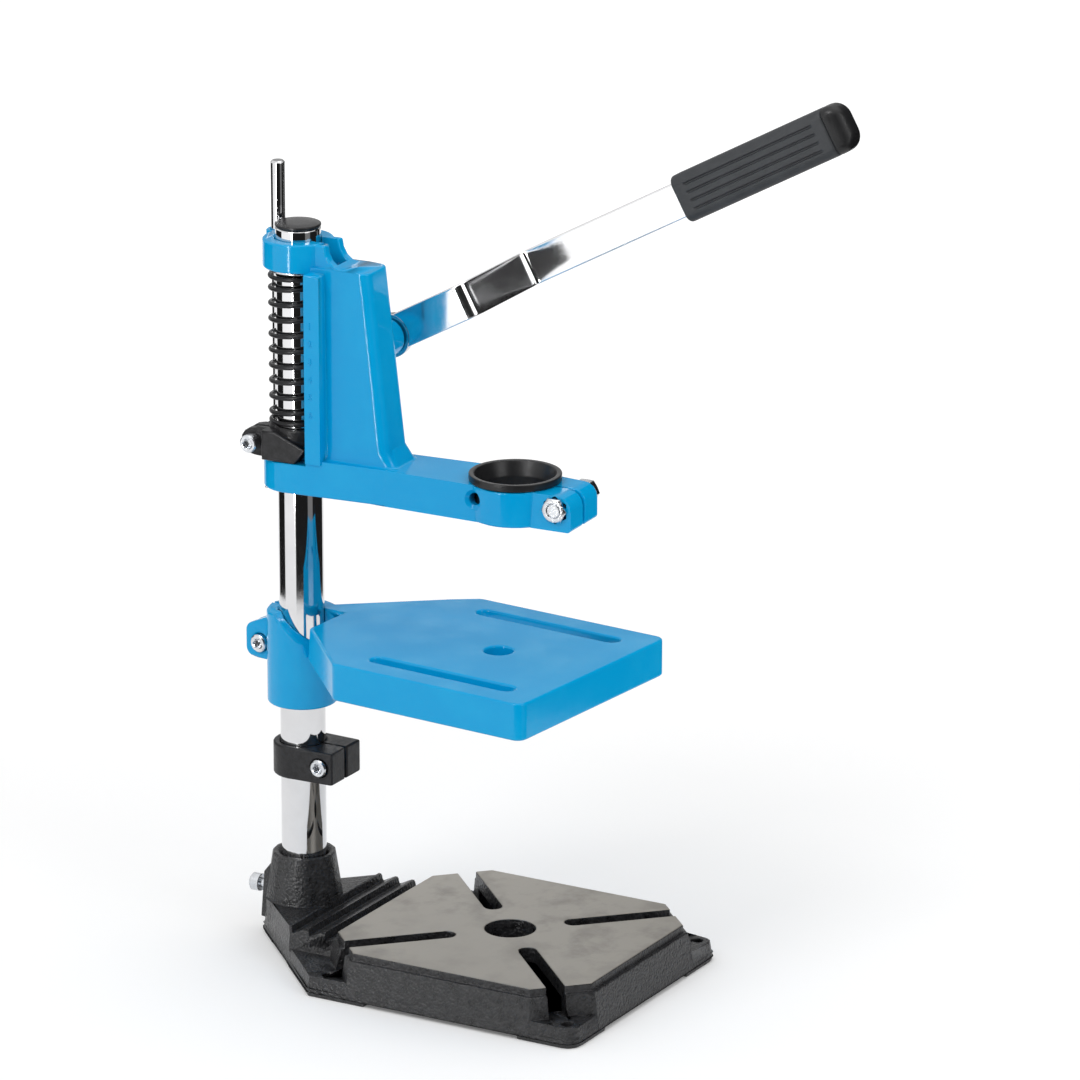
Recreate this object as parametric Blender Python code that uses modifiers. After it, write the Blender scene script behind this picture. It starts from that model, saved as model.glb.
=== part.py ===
"""Drill stand for a hand drill: a cast base with a machined plate, a chromed column, a swivelling table
on a stop collar, and a sprung head that a lever feeds down by a pinion on a rack. Metres, +Z up, with
the origin at the base's underside on the column's axis and the front towards -Y."""
from math import acos, atan2, cos, pi, radians, sin, tan

import bmesh
import bpy
from mathutils import Matrix, Vector

# Driving dimensions
COLUMN_DIAMETER = 0.025
COLUMN_LENGTH = 0.398
COLUMN_WALL = 0.0025
THROAT = 0.1315
HEAD_SWIVEL_DEGREES = 2.83
TABLE_SWIVEL_DEGREES = -4.9

# Fits shared by every piece
GAP = 0.0003
OVERRUN = 0.003
ROUND_STEPS = 32
SMALL_STEPS = 16
ARC_STEPS = 4
WELD = 0.00001

# Base casting
BASE_HEIGHT = 0.028
PLATE_HALF_WIDTH = 0.0757
PLATE_REAR = 0.052
PLATE_FRONT = 0.2115
PLATE_CORNER_CUT = 0.0245
PLATE_STEP = 0.0043
LEDGE = 0.0022
WALL_DRAFT = 0.0033
FOOT_HEIGHT = 0.0025
FOOT_WIDTH = 0.014
FOOT_LENGTH = 0.036
FOOT_INSET = 0.0002
BASE_WALL = 0.007
PLATE_THICKNESS = 0.009
LUG_HEIGHT = 0.0115
LUG_RADIUS = 0.008
LUG_HOLE = 0.007
LUG_HOLE_INSET = 0.0085
BASE_HOLE = 0.028
BASE_HOLE_WALL = 0.006
SLOT_WIDTH = 0.010
SLOT_START = 0.0361
RIB_WIDTH = 0.005
TAIL_HALF_WIDTH = 0.050
TAIL_APEX = 0.0305
TAIL_RADIUS = 0.013
TAIL_DRAFT = 0.0015
DECK_DROP = 0.0043
RIDGE_COUNT = 3
RIDGE_PITCH = 0.01075
RIDGE_FIRST = 0.020
RIDGE_HEIGHT = 0.0042
RIDGE_CREST = 0.0016
RIDGE_RISE = 0.0008
RIDGE_INSET = 0.002
SOCKET_TOP = 0.0503
SOCKET_RADIUS = 0.0176
SOCKET_FOOT_RADIUS = 0.0218
SOCKET_CHAMFER = 0.002
SOCKET_FLOOR = 0.006
BASE_SCREW_Z = 0.0257
SCREW_BOSS_SHARE = 0.8
TAIL_POCKET_DEPTH = 0.014

# Socket-head screws and nuts
M6_DIAMETER = 0.006
M6_HEAD = 0.010
M6_HEAD_LENGTH = 0.006
M6_KEY = 0.005
M6_KEY_DEPTH = 0.003
M6_NUT = 0.010
M6_NUT_LENGTH = 0.005
M8_DIAMETER = 0.008
M8_NUT = 0.013
M8_NUT_LENGTH = 0.0065
BASE_SCREW_SHOW = 0.0039

# Stop collar
STOP_BOTTOM = 0.0965
STOP_HEIGHT = 0.0185
STOP_RADIUS = 0.0166
STOP_END = 0.0275
STOP_HALF_WIDTH = 0.0153
STOP_SCREW_Y = 0.0193
STOP_HEAD_DEPTH = 0.0045
STOP_LEAN_DEGREES = 12
CLAMP_SLIT = 0.0022

# Table
TABLE_TOP = 0.1913
TABLE_RIM = 0.0209
TABLE_HALF_WIDTH = 0.0697
TABLE_FRONT = 0.194
TABLE_SIDE_REAR = 0.0715
TABLE_APEX = 0.004
TABLE_CORNER = 0.006
TABLE_PLATE = 0.006
TABLE_WALL = 0.0055
TABLE_HOLE = 0.016
TABLE_SLOT_X = 0.050
TABLE_SLOT_REAR = 0.083
TABLE_SLOT_FRONT = 0.176
TABLE_SLOT_WIDTH = 0.009
COLLAR_RADIUS = 0.0195
COLLAR_BOTTOM = 0.138
COLLAR_CUT_REAR = 0.006
COLLAR_CUT_FRONT = 0.020
COLLAR_CUT_LOW = 0.169
COLLAR_CUT_LEAN = 0.005
TABLE_LUG_HALF_WIDTH = 0.008
TABLE_LUG_END = 0.033
TABLE_LUG_BOTTOM = 0.160
TABLE_LUG_TOP = 0.178
TABLE_LUG_RISE = 0.006
TABLE_LUG_RADIUS = 0.005
TABLE_SCREW_Y = 0.0232
TABLE_SCREW_Z = 0.1688

# Bracket that holds the head to the column
BRACKET_BOTTOM = 0.2795
BRACKET_TOP = 0.296
BRACKET_HALF_WIDTH = 0.020
BRACKET_REAR = 0.0135
BRACKET_FRONT = 0.0133
BRACKET_FLAT_REAR = 0.005
BRACKET_FRONT_Z = 0.288
BRACKET_CHAMFER_Y = 0.0066
SPRING_SEAT_RADIUS = 0.0168
SPRING_SEAT_Z = 0.297
TONGUE_HALF_WIDTH = 0.0045
TONGUE_Z = 0.2812
BRACKET_LUG_HALF_WIDTH = 0.0072
BRACKET_LUG_Y = 0.0255
BRACKET_LUG_Z = 0.285
BRACKET_LUG_RADIUS = 0.0076

# Guide rod
ROD_DIAMETER = 0.008
ROD_X = 0.0113
ROD_Y = 0.0183
ROD_TOP = 0.440
ROD_BOTTOM = 0.2555
ROD_CHAMFER = 0.001
ROD_BOSS_RADIUS = 0.0068
PIN_WIRE = 0.0018
PIN_Z = 0.2595
PIN_LEG = 0.0065
PIN_BEND_SHARE = 1.5

# Head casting
ARM_BOTTOM = 0.2624
ARM_TOP = 0.2828
ARM_REAR_RADIUS = 0.020
ARM_WAIST_Y = 0.060
ARM_WAIST_HALF_WIDTH = 0.017
ARM_RING_HALF_WIDTH = 0.020
TOOL_BORE = 0.043
TOOL_RING_TOP_RADIUS = 0.0252
TOOL_RING_BOTTOM_RADIUS = 0.024
EAR_HALF_WIDTH = 0.0165
EAR_END = 0.173
EAR_RADIUS = 0.008
EAR_BOLT_Y = 0.1635
EAR_BOLT_Z = 0.2746
EAR_NUT_DEPTH = 0.0045
SIDE_HOLE_Y = 0.116
SIDE_HOLE_DIAMETER = 0.007
SIDE_HOLE_SINK = 0.012
SIDE_HOLE_SINK_DEPTH = 0.0022
UPPER_RING_BOTTOM = 0.386
UPPER_RING_TOP = 0.402
UPPER_RING_RADIUS = 0.0195
HOUSING_TOP = 0.3895
HOUSING_HALF_WIDTH = 0.013
HOUSING_TOP_FRONT = 0.049
HOUSING_FOOT_FRONT = 0.0615
HOUSING_FLARE_FRONT = 0.067
HOUSING_FLARE_Z = 0.2915
HOUSING_FLARE = 0.0012
HOUSING_REAR = 0.012
HOUSING_RADIUS = 0.006
HOUSING_WEB_FRONT = 0.032
HOUSING_WEB_TOP = 0.022
SPRING_CHANNEL_RADIUS = 0.0176
STRIP_HALF_WIDTH = 0.020
STRIP_REAR = 0.0137
STRIP_FRONT = 0.023
STRIP_TOP = 0.387

# Pinion, rack and lever
GEAR_MODULE = 0.0015
PINION_TEETH = 17
PINION_WIDTH = 0.0100
PRESSURE_DEGREES = 20
BACKLASH = 0.00018
TOOTH_DEPTH_SHARE = 1.25
FLANK_STEPS = 4
SHAFT_Y = 0.0375
SHAFT_Z = 0.3425
SHAFT_DIAMETER = 0.010
SHAFT_BLIND_END = 0.0105
SHAFT_END = 0.0465
SHAFT_BOSS_RADIUS = 0.01075
SHAFT_BOSS_END = 0.0317
CHAMBER_GAP = 0.0006
RACK_BACK = 0.018
RACK_BOTTOM = 0.2798
RACK_TOP_ABOVE_SHAFT = 0.0075
RACK_HALF_WIDTH = 0.0045
RACK_SCREW_DIAMETER = 0.004
RACK_SCREW_HEAD = 0.0065
RACK_SCREW_HEAD_LENGTH = 0.0024
RACK_SCREW_Z = 0.2905
SLOT_CLEARANCE = 0.0008
LEVER_X = 0.036
LEVER_BEND = 0.053
LEVER_JOG = 0.005
LEVER_OUTER_X = 0.100
LEVER_WIDTH = 0.020
LEVER_THICKNESS = 0.005
LEVER_BEND_RADIUS = 0.006
LEVER_LENGTH = 0.262
LEVER_REST_DEGREES = 28.5
HUB_RADIUS = 0.0125
WASHER_RADIUS = 0.009
WASHER_THICKNESS = 0.0012
GRIP_START = 0.166
GRIP_LENGTH = 0.1125
GRIP_WIDTH = 0.0272
GRIP_THICKNESS = 0.017
GRIP_END_RADIUS = 0.010
GRIP_SOFT_SHARE = 0.3
GRIP_CAP_LENGTH = 0.012
GRIP_GROOVES = 4
GRIP_GROOVE_PITCH = 0.0048
GRIP_GROOVE_WIDTH = 0.0016
GRIP_GROOVE_DEPTH = 0.0010
GRIP_GROOVE_MARGIN = 0.008

# Return spring
SPRING_WIRE = 0.0025
SPRING_OUTER = 0.0335
SPRING_TURNS = 9
SPRING_SEAT_TURNS = 1
SPRING_POINTS = 10

# Adapter ring and column cap
FLANGE_RADIUS = 0.0252
FLANGE_HEIGHT = 0.0042
ADAPTER_MOUTH = 0.045
ADAPTER_BORE = 0.038
ADAPTER_LENGTH = 0.018
CAP_RADIUS = 0.0128
CAP_HEIGHT = 0.006
CAP_CHAMFER = 0.0008
CAP_STEM = 0.012

# Values worked out from the sizes above
COLUMN_RADIUS = COLUMN_DIAMETER / 2
BORE_RADIUS = COLUMN_RADIUS + GAP
COLUMN_TOP = SOCKET_FLOOR + COLUMN_LENGTH
PITCH_RADIUS = GEAR_MODULE * PINION_TEETH / 2
TOOTH_ROOT = GEAR_MODULE * TOOTH_DEPTH_SHARE
RACK_LINE = SHAFT_Y - PITCH_RADIUS
RACK_TOP = SHAFT_Z + RACK_TOP_ABOVE_SHAFT
DECK = BASE_HEIGHT - DECK_DROP

ALONG = {
    "X": Matrix(((0, 0, 1, 0), (1, 0, 0, 0), (0, 1, 0, 0), (0, 0, 0, 1))),
    "Y": Matrix(((1, 0, 0, 0), (0, 0, -1, 0), (0, 1, 0, 0), (0, 0, 0, 1))),
    "Z": Matrix.Identity(4),
}


def new_collection(name):
    """Collection linked to the scene."""
    collection = bpy.data.collections.new(name)
    bpy.context.scene.collection.children.link(collection)
    return collection


def finish(name, colour, roughness, metallic):
    """Principled material with the piece's colour, roughness and metallic value."""
    material = bpy.data.materials.new(name)
    material.use_nodes = True
    shader = material.node_tree.nodes["Principled BSDF"]
    shader.inputs["Base Color"].default_value = (*colour, 1)
    shader.inputs["Roughness"].default_value = roughness
    shader.inputs["Metallic"].default_value = metallic
    return material


def mesh_object(name, mesh, frame=None):
    """Object in the cutters' collection, shown as wire; as_part turns it into a piece."""
    made = bpy.data.objects.new(name, mesh)
    bpy.data.collections["cutters"].objects.link(made)
    made.hide_render = True
    made.display_type = "WIRE"
    made.parent = frame
    return made


def as_part(made, name, material):
    """Moves a helper into the stand's own collection under its piece's name."""
    bpy.data.collections["cutters"].objects.unlink(made)
    bpy.data.collections["drill_stand"].objects.link(made)
    made.hide_render = False
    made.display_type = "TEXTURED"
    made.name = name
    made.data.name = name
    made.data.materials.append(material)
    return made


def shade(mesh):
    """Shades round faces smooth and keeps edges over 35 degrees sharp."""
    mesh.shade_smooth()
    mesh.set_sharp_from_angle(angle=radians(35))


def arc(centre, radius, start, finish_angle, steps):
    """Points along an arc of the given centre and radius, both ends included."""
    turn = (finish_angle - start) / steps
    return [Vector((centre[0] + radius * cos(start + turn * i), centre[1] + radius * sin(start + turn * i)))
            for i in range(steps + 1)]


def rounded(corners, steps=ARC_STEPS):
    """Outline from corners (x, y, radius), each rounded by an arc that touches both of its edges."""
    points = []
    for index, (x, y, radius) in enumerate(corners):
        here = Vector((x, y))
        if radius == 0:
            points.append(here)
            continue
        back = (Vector(corners[index - 1][:2]) - here).normalized()
        ahead = (Vector(corners[(index + 1) % len(corners)][:2]) - here).normalized()
        half = back.angle(ahead) / 2
        centre = here + (back + ahead).normalized() * (radius / sin(half))
        start = here + back * (radius / tan(half)) - centre
        finish_side = here + ahead * (radius / tan(half)) - centre
        first = atan2(start.y, start.x)
        turn = (atan2(finish_side.y, finish_side.x) - first + pi) % (2 * pi) - pi
        points += arc(centre, radius, first, first + turn, steps)
    return points


def grown(points, distance):
    """Outline moved outwards by a distance, each corner along its mitre; points run anticlockwise."""
    moved = []
    for index, here in enumerate(points):
        back = (here - points[index - 1]).normalized()
        ahead = (points[(index + 1) % len(points)] - here).normalized()
        out_back = Vector((back.y, -back.x))
        out_ahead = Vector((ahead.y, -ahead.x))
        mitre = (out_back + out_ahead).normalized()
        moved.append(here + mitre * (distance / mitre.dot(out_ahead)))
    return moved


def mirrored(points):
    """Outline reflected in X, run the other way so that it stays anticlockwise."""
    return [Vector((-point.x, point.y)) for point in reversed(points)]


def circle(centre, radius, steps=ROUND_STEPS):
    """Full circle as an outline."""
    return arc(centre, radius, 0, 2 * pi, steps)[:-1]


def slab(name, outlines, low, high, along="Z", frame=None):
    """Flat piece: a filled 2D curve, with inner outlines as holes, extruded along an axis and made a mesh."""
    curve = bpy.data.curves.new(name, "CURVE")
    curve.dimensions = "2D"
    curve.fill_mode = "BOTH"
    curve.extrude = (high - low) / 2
    if not isinstance(outlines[0], list):
        outlines = [outlines]
    for outline in outlines:
        spline = curve.splines.new("POLY")
        spline.points.add(len(outline) - 1)
        spline.use_cyclic_u = True
        for place, point in zip(spline.points, outline):
            place.co = (point[0], point[1], 0, 1)
    source = bpy.data.objects.new(name, curve)
    bpy.context.scene.collection.objects.link(source)
    source.matrix_world = ALONG[along] @ Matrix.Translation((0, 0, (low + high) / 2))
    return mesh_from_curve(source, frame)


def mesh_from_curve(source, frame):
    """Mesh object of a curve, its caps welded, standing where the curve stood."""
    bpy.context.view_layer.update()
    graph = bpy.context.evaluated_depsgraph_get()
    mesh = bpy.data.meshes.new_from_object(source.evaluated_get(graph))
    weld(mesh)
    made = mesh_object(source.name, mesh)
    made.matrix_world = source.matrix_world
    made.parent = frame
    bpy.data.objects.remove(source)
    return made


def weld(mesh):
    """Merges doubled points and turns all faces outwards."""
    grid = bmesh.new()
    grid.from_mesh(mesh)
    bmesh.ops.remove_doubles(grid, verts=grid.verts, dist=WELD)
    bmesh.ops.recalc_face_normals(grid, faces=grid.faces)
    grid.to_mesh(mesh)
    grid.free()
    shade(mesh)


def tapered(name, lower, low, upper, high, frame=None):
    """Drafted block: a loft between two outlines with as many points each."""
    grid = bmesh.new()
    rings = [[grid.verts.new((point[0], point[1], z)) for point in outline]
             for outline, z in ((lower, low), (upper, high))]
    grid.faces.new(rings[0][::-1])
    grid.faces.new(rings[1])
    for index in range(len(lower)):
        after = (index + 1) % len(lower)
        grid.faces.new((rings[0][index], rings[0][after], rings[1][after], rings[1][index]))
    mesh = bpy.data.meshes.new(name)
    grid.to_mesh(mesh)
    grid.free()
    weld(mesh)
    return mesh_object(name, mesh, frame)


def turned(name, profile, steps=ROUND_STEPS, place=(0, 0, 0), along="Z", frame=None):
    """Turned piece: a profile of (radius, height) run down its outer side, swept by a Screw modifier.
    A profile that starts and ends off the axis is closed into a ring."""
    mesh = bpy.data.meshes.new(name)
    count = len(profile)
    edges = [(index, index + 1) for index in range(count - 1)]
    if profile[0][0] > 0:
        edges.append((count - 1, 0))
    mesh.from_pydata([(radius, 0, height) for radius, height in profile], edges, [])
    made = mesh_object(name, mesh, frame)
    screw = made.modifiers.new("turn", "SCREW")
    screw.axis = "Z"
    screw.steps = steps
    screw.render_steps = steps
    screw.use_merge_vertices = True
    screw.merge_threshold = WELD
    screw.use_smooth_shade = True
    made.matrix_local = Matrix.Translation(place) @ ALONG[along]
    return made


def rod_shape(name, radius, low, high, steps=SMALL_STEPS, place=(0, 0, 0), along="Z", frame=None):
    """Plain round bar or hole between two heights on its own axis, each end one flat face."""
    grid = bmesh.new()
    middle = Matrix.Translation((0, 0, (low + high) / 2))
    bmesh.ops.create_cone(grid, cap_ends=True, segments=steps, radius1=radius, radius2=radius,
                          depth=high - low,
                          matrix=middle)
    mesh = bpy.data.meshes.new(name)
    grid.to_mesh(mesh)
    grid.free()
    shade(mesh)
    made = mesh_object(name, mesh, frame)
    made.matrix_local = Matrix.Translation(place) @ ALONG[along]
    return made


def combine(target, tools, operation):
    """Exact Boolean of a piece with a set of helper shapes."""
    group = bpy.data.collections.new("_".join((target.name, operation.lower(), str(len(target.modifiers)))))
    for tool in tools:
        group.objects.link(tool)
    boolean = target.modifiers.new(group.name, "BOOLEAN")
    boolean.operation = operation
    boolean.solver = "EXACT"
    boolean.operand_type = "COLLECTION"
    boolean.collection = group


def cut(target, *tools):
    """Takes helper shapes out of a piece."""
    combine(target, tools, "DIFFERENCE")


def join(target, *tools):
    """Adds helper shapes to a piece."""
    combine(target, tools, "UNION")


def pivot(name, place=(0, 0, 0), turn=0, parent=None):
    """Empty that carries the pieces of one moving body, on its joint's axis."""
    empty = bpy.data.objects.new(name, None)
    bpy.context.scene.collection.objects.link(empty)
    empty.parent = parent
    empty.location = place
    empty.rotation_euler = (0, 0, turn)
    return empty


def hex_outline(across, centre=(0, 0)):
    """Hexagon of a given width across its flats."""
    return arc(centre, across / 2 / cos(pi / 6), pi / 6, 2 * pi + pi / 6, 6)[:-1]


def socket_screw(name, material, length, place, along, frame=None):
    """Socket-head screw: head towards -axis, shank towards +axis, and a hexagon socket in the head."""
    head = M6_HEAD / 2
    shank = M6_DIAMETER / 2 - GAP
    profile = [(0, length), (shank, length), (shank, 0), (head, 0), (head, -M6_HEAD_LENGTH),
               (0, -M6_HEAD_LENGTH)]
    screw = turned(name, profile, SMALL_STEPS, place, along, frame)
    key = slab(name + "_key", hex_outline(M6_KEY), -M6_HEAD_LENGTH - OVERRUN, -M6_HEAD_LENGTH + M6_KEY_DEPTH)
    key.parent = frame
    key.matrix_local = screw.matrix_local.copy()
    key.data.transform(Matrix.Translation((0, 0, -M6_HEAD_LENGTH + M6_KEY_DEPTH / 2 - OVERRUN / 2)))
    cut(screw, key)
    return as_part(screw, name, material)


def hex_nut(name, material, across, bore, length, place, along, frame=None):
    """Hexagon nut with its bore, its near face at the given place."""
    nut = slab(name, [hex_outline(across), circle((0, 0), bore / 2, SMALL_STEPS)], 0, length)
    nut.parent = frame
    nut.data.transform(Matrix.Translation((0, 0, length / 2)))
    nut.matrix_local = Matrix.Translation(place) @ ALONG[along]
    return as_part(nut, name, material)


def plate_outline():
    """Machined plate seen from above: a rectangle with its four corners cut at 45 degrees."""
    half, cut_length = PLATE_HALF_WIDTH, PLATE_CORNER_CUT
    right = [Vector((half - cut_length, -PLATE_FRONT)), Vector((half, cut_length - PLATE_FRONT)),
             Vector((half, -PLATE_REAR - cut_length)), Vector((half - cut_length, -PLATE_REAR))]
    return right + mirrored(right)


def tail_outline(half, front):
    """Rear of the base: straight sides that meet in a rounded 45 degree nose behind the column."""
    return rounded([(-half, -front, 0), (half, -front, 0), (half, TAIL_APEX - half, RIDGE_INSET),
                    (0, TAIL_APEX, TAIL_RADIUS), (-half, TAIL_APEX - half, RIDGE_INSET)])


def slot_outline(angle):
    """Slot that runs from a round end near the work hole out past a corner of the plate."""
    ahead = Vector((cos(angle), sin(angle)))
    middle = Vector((0, -THROAT))
    near = middle + ahead * SLOT_START
    far = middle + ahead * (PLATE_FRONT - PLATE_REAR)
    side = Vector((-ahead.y, ahead.x)) * (SLOT_WIDTH / 2)
    return (arc(near, SLOT_WIDTH / 2, angle + pi / 2, angle + 3 * pi / 2, ARC_STEPS * 2)
            + [far - side, far + side])


def foot_outlines(half, front):
    """Pads that the base stands on: one at each corner, and one under the nose and the column."""
    rear = TAIL_APEX - half
    reach = half - TAIL_HALF_WIDTH + RIDGE_INSET
    step = FOOT_WIDTH / 2 ** 0.5
    corner = [Vector((-half, rear - FOOT_LENGTH)), Vector((FOOT_WIDTH - half, rear - FOOT_LENGTH)),
              Vector((FOOT_WIDTH - half, rear + FOOT_WIDTH - FOOT_WIDTH * 2 ** 0.5)),
              Vector((reach - half + step, rear + reach - step)), Vector((reach - half, rear + reach)),
              Vector((-half, rear))]
    near = rounded([(-half, -front, LUG_RADIUS), (FOOT_LENGTH - half, -front, 0),
                    (FOOT_LENGTH - half, FOOT_WIDTH - front, 0), (FOOT_WIDTH - half, FOOT_WIDTH - front, 0),
                    (FOOT_WIDTH - half, FOOT_LENGTH - front, 0), (-half, FOOT_LENGTH - front, 0)])
    nose_width = TAIL_APEX - LUG_RADIUS
    stem = FOOT_WIDTH / 2
    nose = rounded([(-nose_width, LUG_RADIUS, 0), (-stem, LUG_RADIUS, 0), (-stem, -stem, 0), (stem, -stem, 0),
                    (stem, LUG_RADIUS, 0), (nose_width, LUG_RADIUS, 0), (0, TAIL_APEX, TAIL_RADIUS)])
    return [corner, mirrored(corner), near, mirrored(near), nose]


def base_casting(material):
    """Base with the raised plate, corner lugs, saw-tooth ridges, column socket, feet and hollow underside."""
    plate = plate_outline()
    half = PLATE_HALF_WIDTH + LEDGE + WALL_DRAFT
    front = PLATE_FRONT + LEDGE + WALL_DRAFT
    wall_top = BASE_HEIGHT - PLATE_STEP
    base = tapered("base", grown(plate, LEDGE + WALL_DRAFT), FOOT_HEIGHT + FOOT_INSET, grown(plate, LEDGE),
                   wall_top)
    pad = slab("pad", plate, wall_top - LEDGE, BASE_HEIGHT)
    floor_line = rounded([(-half, -front, LUG_RADIUS), (half, -front, LUG_RADIUS),
                          (half, TAIL_APEX - half, LEDGE),
                          (0, TAIL_APEX, TAIL_RADIUS), (-half, TAIL_APEX - half, LEDGE)])
    lugs = tapered("lugs", grown(floor_line, -FOOT_INSET), FOOT_HEIGHT, grown(floor_line, -TAIL_DRAFT),
                   LUG_HEIGHT)
    tail_line = tail_outline(TAIL_HALF_WIDTH, PLATE_REAR + BASE_WALL)
    tail = tapered("tail", grown(tail_line, -FOOT_INSET * 2), LUG_HEIGHT - LEDGE,
                   grown(tail_line, -TAIL_DRAFT), DECK)
    feet = [slab("foot", grown(outline, -FOOT_INSET * 2), 0, FOOT_HEIGHT + LEDGE)
            for outline in foot_outlines(half, front)]
    join(base, pad, lugs, tail, ridge_block(), *socket_shapes(), *feet)
    ceiling = BASE_HEIGHT - PLATE_THICKNESS
    grooves = [ridge_groove(index) for index in range(RIDGE_COUNT)]
    cut(base, slab("hollow", grown(plate, -BASE_WALL), -OVERRUN, ceiling), tail_pocket(), *grooves)
    join(base, *base_ribs(ceiling))
    holes = [rod_shape("work_hole", BASE_HOLE / 2, -OVERRUN, BASE_HEIGHT + OVERRUN, ROUND_STEPS,
                       (0, -THROAT, 0))]
    for index in range(4):
        outline = slot_outline(pi / 4 + index * pi / 2)
        holes.append(slab("slot", outline, LUG_HEIGHT - FOOT_INSET, BASE_HEIGHT + OVERRUN))
    for side in (-1, 1):
        for y in (TAIL_APEX - half - LUG_HOLE_INSET, LUG_HOLE_INSET - front):
            place = (side * (half - LUG_HOLE_INSET), y, 0)
            holes.append(rod_shape("lug_hole", LUG_HOLE / 2, -OVERRUN, LUG_HEIGHT + OVERRUN, SMALL_STEPS,
                                   place))
    cut(base, *holes, *socket_cuts())
    as_part(base, "base_casting", material)


def ridge_block():
    """Block behind the plate that the saw-tooth ridges are cut from."""
    half = TAIL_HALF_WIDTH - RIDGE_INSET
    outline = [Vector((-half, -PLATE_REAR)), Vector((half, -PLATE_REAR)),
               Vector((half, RIDGE_CREST / 2 - RIDGE_FIRST)), Vector((-half, RIDGE_CREST / 2 - RIDGE_FIRST))]
    return slab("ridges", outline, LUG_HEIGHT - LEDGE, DECK + RIDGE_RISE)


def ridge_groove(index):
    """Space between two ridges: steep behind the plate side of one crest, then a long rise to the next."""
    top = DECK + RIDGE_RISE
    start = -RIDGE_FIRST - RIDGE_PITCH * index - RIDGE_CREST / 2
    last = index == RIDGE_COUNT - 1
    stop = LEDGE - PLATE_REAR if last else start - RIDGE_PITCH + RIDGE_CREST
    outline = [Vector((start, top + OVERRUN)), Vector((stop, top + OVERRUN)), Vector((stop, top)),
               Vector((start - RIDGE_CREST / 2, top - RIDGE_HEIGHT)), Vector((start, top))]
    if last:
        outline[2:4] = [Vector((stop, top - RIDGE_HEIGHT / 2)),
                        Vector((start - RIDGE_CREST / 2, top - RIDGE_HEIGHT))]
    return slab("groove", outline, -TAIL_HALF_WIDTH - OVERRUN, TAIL_HALF_WIDTH + OVERRUN, "X")


def socket_shapes():
    """Column socket, widening towards the deck, and the boss behind it for the clamp screw."""
    low = LUG_HEIGHT - LEDGE
    facets = ROUND_STEPS // 2
    foot_circle = circle((0, 0), SOCKET_FOOT_RADIUS, facets)
    socket = tapered("socket", foot_circle, DECK - GAP, circle((0, 0), SOCKET_RADIUS, facets), SOCKET_TOP)
    stem = slab("socket_stem", foot_circle, low, DECK)
    outline = [Vector((0, low)), Vector((SOCKET_FOOT_RADIUS + LEDGE, low)),
               Vector((SOCKET_FOOT_RADIUS, BASE_SCREW_Z + M6_HEAD)),
               Vector((SOCKET_RADIUS - LEDGE, SOCKET_TOP - LEDGE * 3)), Vector((0, SOCKET_TOP - LEDGE * 3))]
    boss_half = M6_HEAD * SCREW_BOSS_SHARE
    boss = slab("screw_boss", outline, -boss_half, boss_half, "X")
    return socket, stem, boss


def socket_cuts():
    """Bore and entry chamfer for the column, and the clamp screw's hole."""
    bore = rod_shape("column_bore", BORE_RADIUS, SOCKET_FLOOR - GAP, SOCKET_TOP + OVERRUN, ROUND_STEPS)
    wide = BORE_RADIUS + SOCKET_CHAMFER + OVERRUN
    chamfer = turned("bore_chamfer", [(0, SOCKET_TOP + OVERRUN), (wide, SOCKET_TOP + OVERRUN),
                                      (BORE_RADIUS - OVERRUN, SOCKET_TOP - SOCKET_CHAMFER - OVERRUN),
                                      (0, SOCKET_TOP - SOCKET_CHAMFER - OVERRUN)])
    hole = rod_shape("screw_hole", M6_DIAMETER / 2, -SOCKET_FOOT_RADIUS * 2, 0, SMALL_STEPS,
                     (0, 0, BASE_SCREW_Z), "Y")
    return bore, chamfer, hole


def tail_pocket():
    """Hollow under the ridges."""
    outline = [Vector((BASE_WALL - TAIL_HALF_WIDTH, BASE_WALL - PLATE_REAR)),
               Vector((TAIL_HALF_WIDTH - BASE_WALL, BASE_WALL - PLATE_REAR)),
               Vector((TAIL_HALF_WIDTH - BASE_WALL * 2, -SOCKET_FOOT_RADIUS - LEDGE)),
               Vector((BASE_WALL * 2 - TAIL_HALF_WIDTH, -SOCKET_FOOT_RADIUS - LEDGE))]
    return slab("tail_pocket", outline, -OVERRUN, TAIL_POCKET_DEPTH)


def base_ribs(ceiling):
    """Ribs and the ring round the work hole on the plate's underside."""
    low, high = FOOT_HEIGHT + FOOT_INSET, ceiling + LEDGE
    ring = rod_shape("hole_ring", BASE_HOLE / 2 + BASE_HOLE_WALL, low, high, ROUND_STEPS, (0, -THROAT, 0))
    long_rib = [Vector((-RIB_WIDTH / 2, -PLATE_FRONT)), Vector((RIB_WIDTH / 2, -PLATE_FRONT)),
                Vector((RIB_WIDTH / 2, -PLATE_REAR)), Vector((-RIB_WIDTH / 2, -PLATE_REAR))]
    cross_rib = [Vector((-PLATE_HALF_WIDTH, -THROAT - RIB_WIDTH / 2)),
                 Vector((PLATE_HALF_WIDTH, -THROAT - RIB_WIDTH / 2)),
                 Vector((PLATE_HALF_WIDTH, RIB_WIDTH / 2 - THROAT)),
                 Vector((-PLATE_HALF_WIDTH, RIB_WIDTH / 2 - THROAT))]
    return slab("long_rib", long_rib, low, high), slab("cross_rib", cross_rib, low + GAP, high - GAP), ring


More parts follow.
